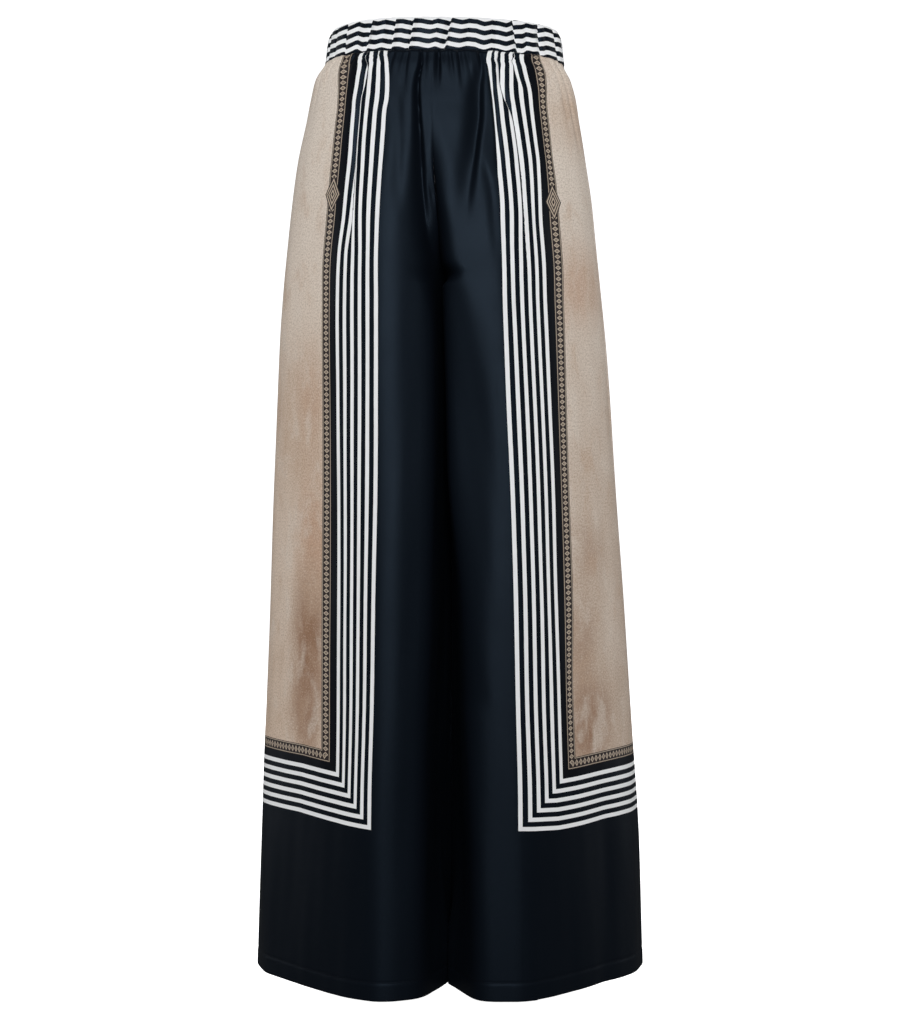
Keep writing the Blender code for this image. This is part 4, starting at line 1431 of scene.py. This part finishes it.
def mottled_beige(nodes, across, up, leg):
    """A suede-like ground: pale above, browner and darker below, its own tone with painted shade
    where the light falls off towards the hem; with stains, broad clouds, streaks that run down
    and a fine grain."""
    moved = across + (LEFT_SEED if leg == "left" else 0.0)
    clouds = nodes.noise(nodes.combine(moved, up * 0.55), 26.0, 5.0, 0.6, 0.3)
    patches = nodes.noise(nodes.combine(moved, up * 0.35, 0.3), 60.0, 4.0, 0.65)
    grain = nodes.noise(nodes.combine(moved, up), 480.0, 4.0, 0.8)
    # The ground darkens towards the hem: its own browner tone, with painted shade where the light
    # falls off
    colour = nodes.mix(up.smooth(PALE_FROM, PALE_TO), BEIGE_LOW_SHADED[leg], BEIGE_HIGH)
    uneven = patches.smooth(0.1, 0.58)
    for place, size, strength, tint in STAINS[leg]:
        shape = stain(nodes, across, up, place, size)
        colour = nodes.mix(shape * uneven * strength, colour, tint)
    for field, start, end, strength, tint in (  # start and end of the field's S
        (clouds, 0.5, 0.7, 0.55, BEIGE_HIGH),
        (clouds, 0.48, 0.3, 0.45, BEIGE_TAN),
        (patches, 0.55, 0.72, 0.3, BEIGE_TAN),
        (grain, 0.47, 0.6, 0.44, BEIGE_GRAIN),
        (grain, 0.47, 0.36, 0.3, BEIGE_PALE),
    ):
        colour = nodes.mix(field.smooth(start, end) * strength, colour, tint)
    return colour


# %% Printed silk
STITCH_PITCH, STITCH_SHARE, STITCH_HALF_WIDTH = 0.0032, 0.72, 0.0003
STITCH_DARKNESS = 0.8
PRINT_ROUGHNESS, PRINT_UNEVEN, PANEL_ROUGHER = 0.47, 0.06, 0.12
REVERSE_SHARE = 0.35


def printed_colour(nodes, across, up, leg):
    """The whole print as a colour, and a mask of the beige panel."""
    depth = nodes.math("MINIMUM", across, up)
    along = nodes.math("MAXIMUM", across, up)
    stripe = (depth / STRIPE_PITCH).fraction() < STRIPE_WIDTH / STRIPE_PITCH
    stripe *= depth.inside(0.0, STRIPES * STRIPE_PITCH)
    gap = depth.inside((STRIPES - 1) * STRIPE_PITCH + STRIPE_WIDTH, BAND_FROM)
    ornament = nodes.mix(lozenge_chain(nodes, depth, along), BAND_BROWN, CREAM)
    panel = depth > BAND_TO
    colour = nodes.mix(stripe, NAVY, WHITE)
    colour = nodes.mix(gap, colour, DEEP_NAVY)
    colour = nodes.mix(depth.inside(BAND_FROM, BAND_TO), colour, ornament)
    colour = nodes.mix(panel, colour, mottled_beige(nodes, across, up, leg))
    where, light = rosette(across, up)
    return nodes.mix(where, colour, nodes.mix(light, BAND_BROWN, CREAM)), panel


def hem_stitches(nodes):
    """Short stitches along the hem, as a mask."""
    _, along, above = nodes.uv("edges")
    line = abs(above - HEM_HEIGHT) < STITCH_HALF_WIDTH
    return line * ((along / STITCH_PITCH).fraction() < STITCH_SHARE)


def printed_silk(name, leg, reverse):
    """Silk twill with the print, or its paler reverse."""
    nodes = Nodes(name)
    vector, across, up = nodes.uv("print")
    colour, panel = printed_colour(nodes, across, up, leg)
    stitches = hem_stitches(nodes)
    colour = nodes.mix(stitches * STITCH_DARKNESS, colour, DEEP_NAVY)
    roughness = nodes.noise(vector, 30.0, 2.0) * PRINT_UNEVEN + PRINT_ROUGHNESS
    roughness += panel * PANEL_ROUGHER
    if reverse:
        colour = nodes.mix(REVERSE_SHARE, colour, REVERSE_TINT)
    add_weave(nodes, vector, across, up, stitches)
    return finish_silk(nodes, colour, roughness)


# %% Waistband silk
BAND_PITCH, BAND_WHITE = 0.0105, 0.005
BAND_FIRST = 0.0032  # height of the lowest white stripe's lower edge
BAND_ROUGHNESS, BAND_UNEVEN = 0.44, 0.14
BAND_REVERSE_SHARE = 0.2


def striped_silk(name, reverse):
    """The casing's silk: level stripes, navy at the lower seam."""
    nodes = Nodes(name)
    vector, along, up = nodes.uv("print")
    stripe = ((up - BAND_FIRST) / BAND_PITCH).fraction() < BAND_WHITE / BAND_PITCH
    colour = nodes.mix(stripe * (up > BAND_FIRST), NAVY, WHITE)
    if reverse:
        colour = nodes.mix(BAND_REVERSE_SHARE, colour, REVERSE_TINT)
    roughness = nodes.noise(vector, 60.0, 2.0) * BAND_UNEVEN + BAND_ROUGHNESS
    add_weave(nodes, vector, along, up)
    return finish_silk(nodes, colour, roughness)


# %% [markdown]
# ## Making the pieces
# Each piece rides on the one body and hides the CAD wall it stands for.

# %% Panels
SILK = {
    word: [
        printed_silk(f"printed_silk_{word}{ending}", word, ending != "")
        for ending in ("", "_reverse")
    ]
    for word in ("right", "left")
}
pieces = {}
for face in ("front", "back"):
    for side, word in ((-1, "right"), (1, "left")):
        outer, inner, prints, edges = panel_grid(face, side)
        name = f"{face}_{word}"
        layers = (("print", prints, prints), ("edges", edges, edges))
        pieces[name] = add_cloth(f"{name}_cloth", outer, inner, layers, SILK[word])

# %% Waistband
band_silk = (striped_silk("striped_silk", False), striped_silk("striped_silk_reverse", True))
for face in ("front", "back"):
    outer, inner, outer_print, inner_print = band_grid(face)
    name = f"waistband_{face}"
    layers = (("print", outer_print, inner_print),)
    pieces[name] = add_cloth(f"{name}_cloth", outer, inner, layers, band_silk)

# %% [markdown]
# ## Each piece on the body, with its cut listed
# A sheet's flat size is the cut of what shows: width by length, and its area where the cut is
# not a rectangle.

# %% Pieces and sheets
# Node, slot, flat width, flat length, flat area
CUTS = (
    ("front_right", "printed_silk", 0.400, 1.050, 0.390),
    ("front_left", "printed_silk", 0.410, 1.050, 0.395),
    ("back_right", "printed_silk", 0.400, 1.050, 0.375),
    ("back_left", "printed_silk", 0.405, 1.050, 0.380),
    ("waistband_front", "striped_silk", 0.480, 0.038, 0.0182),
    ("waistband_back", "striped_silk", 0.440, 0.038, 0.0167),
)
for node, slot, width, length, area in CUTS:
    piece = pieces[node]
    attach(piece, "root")
    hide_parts(node)
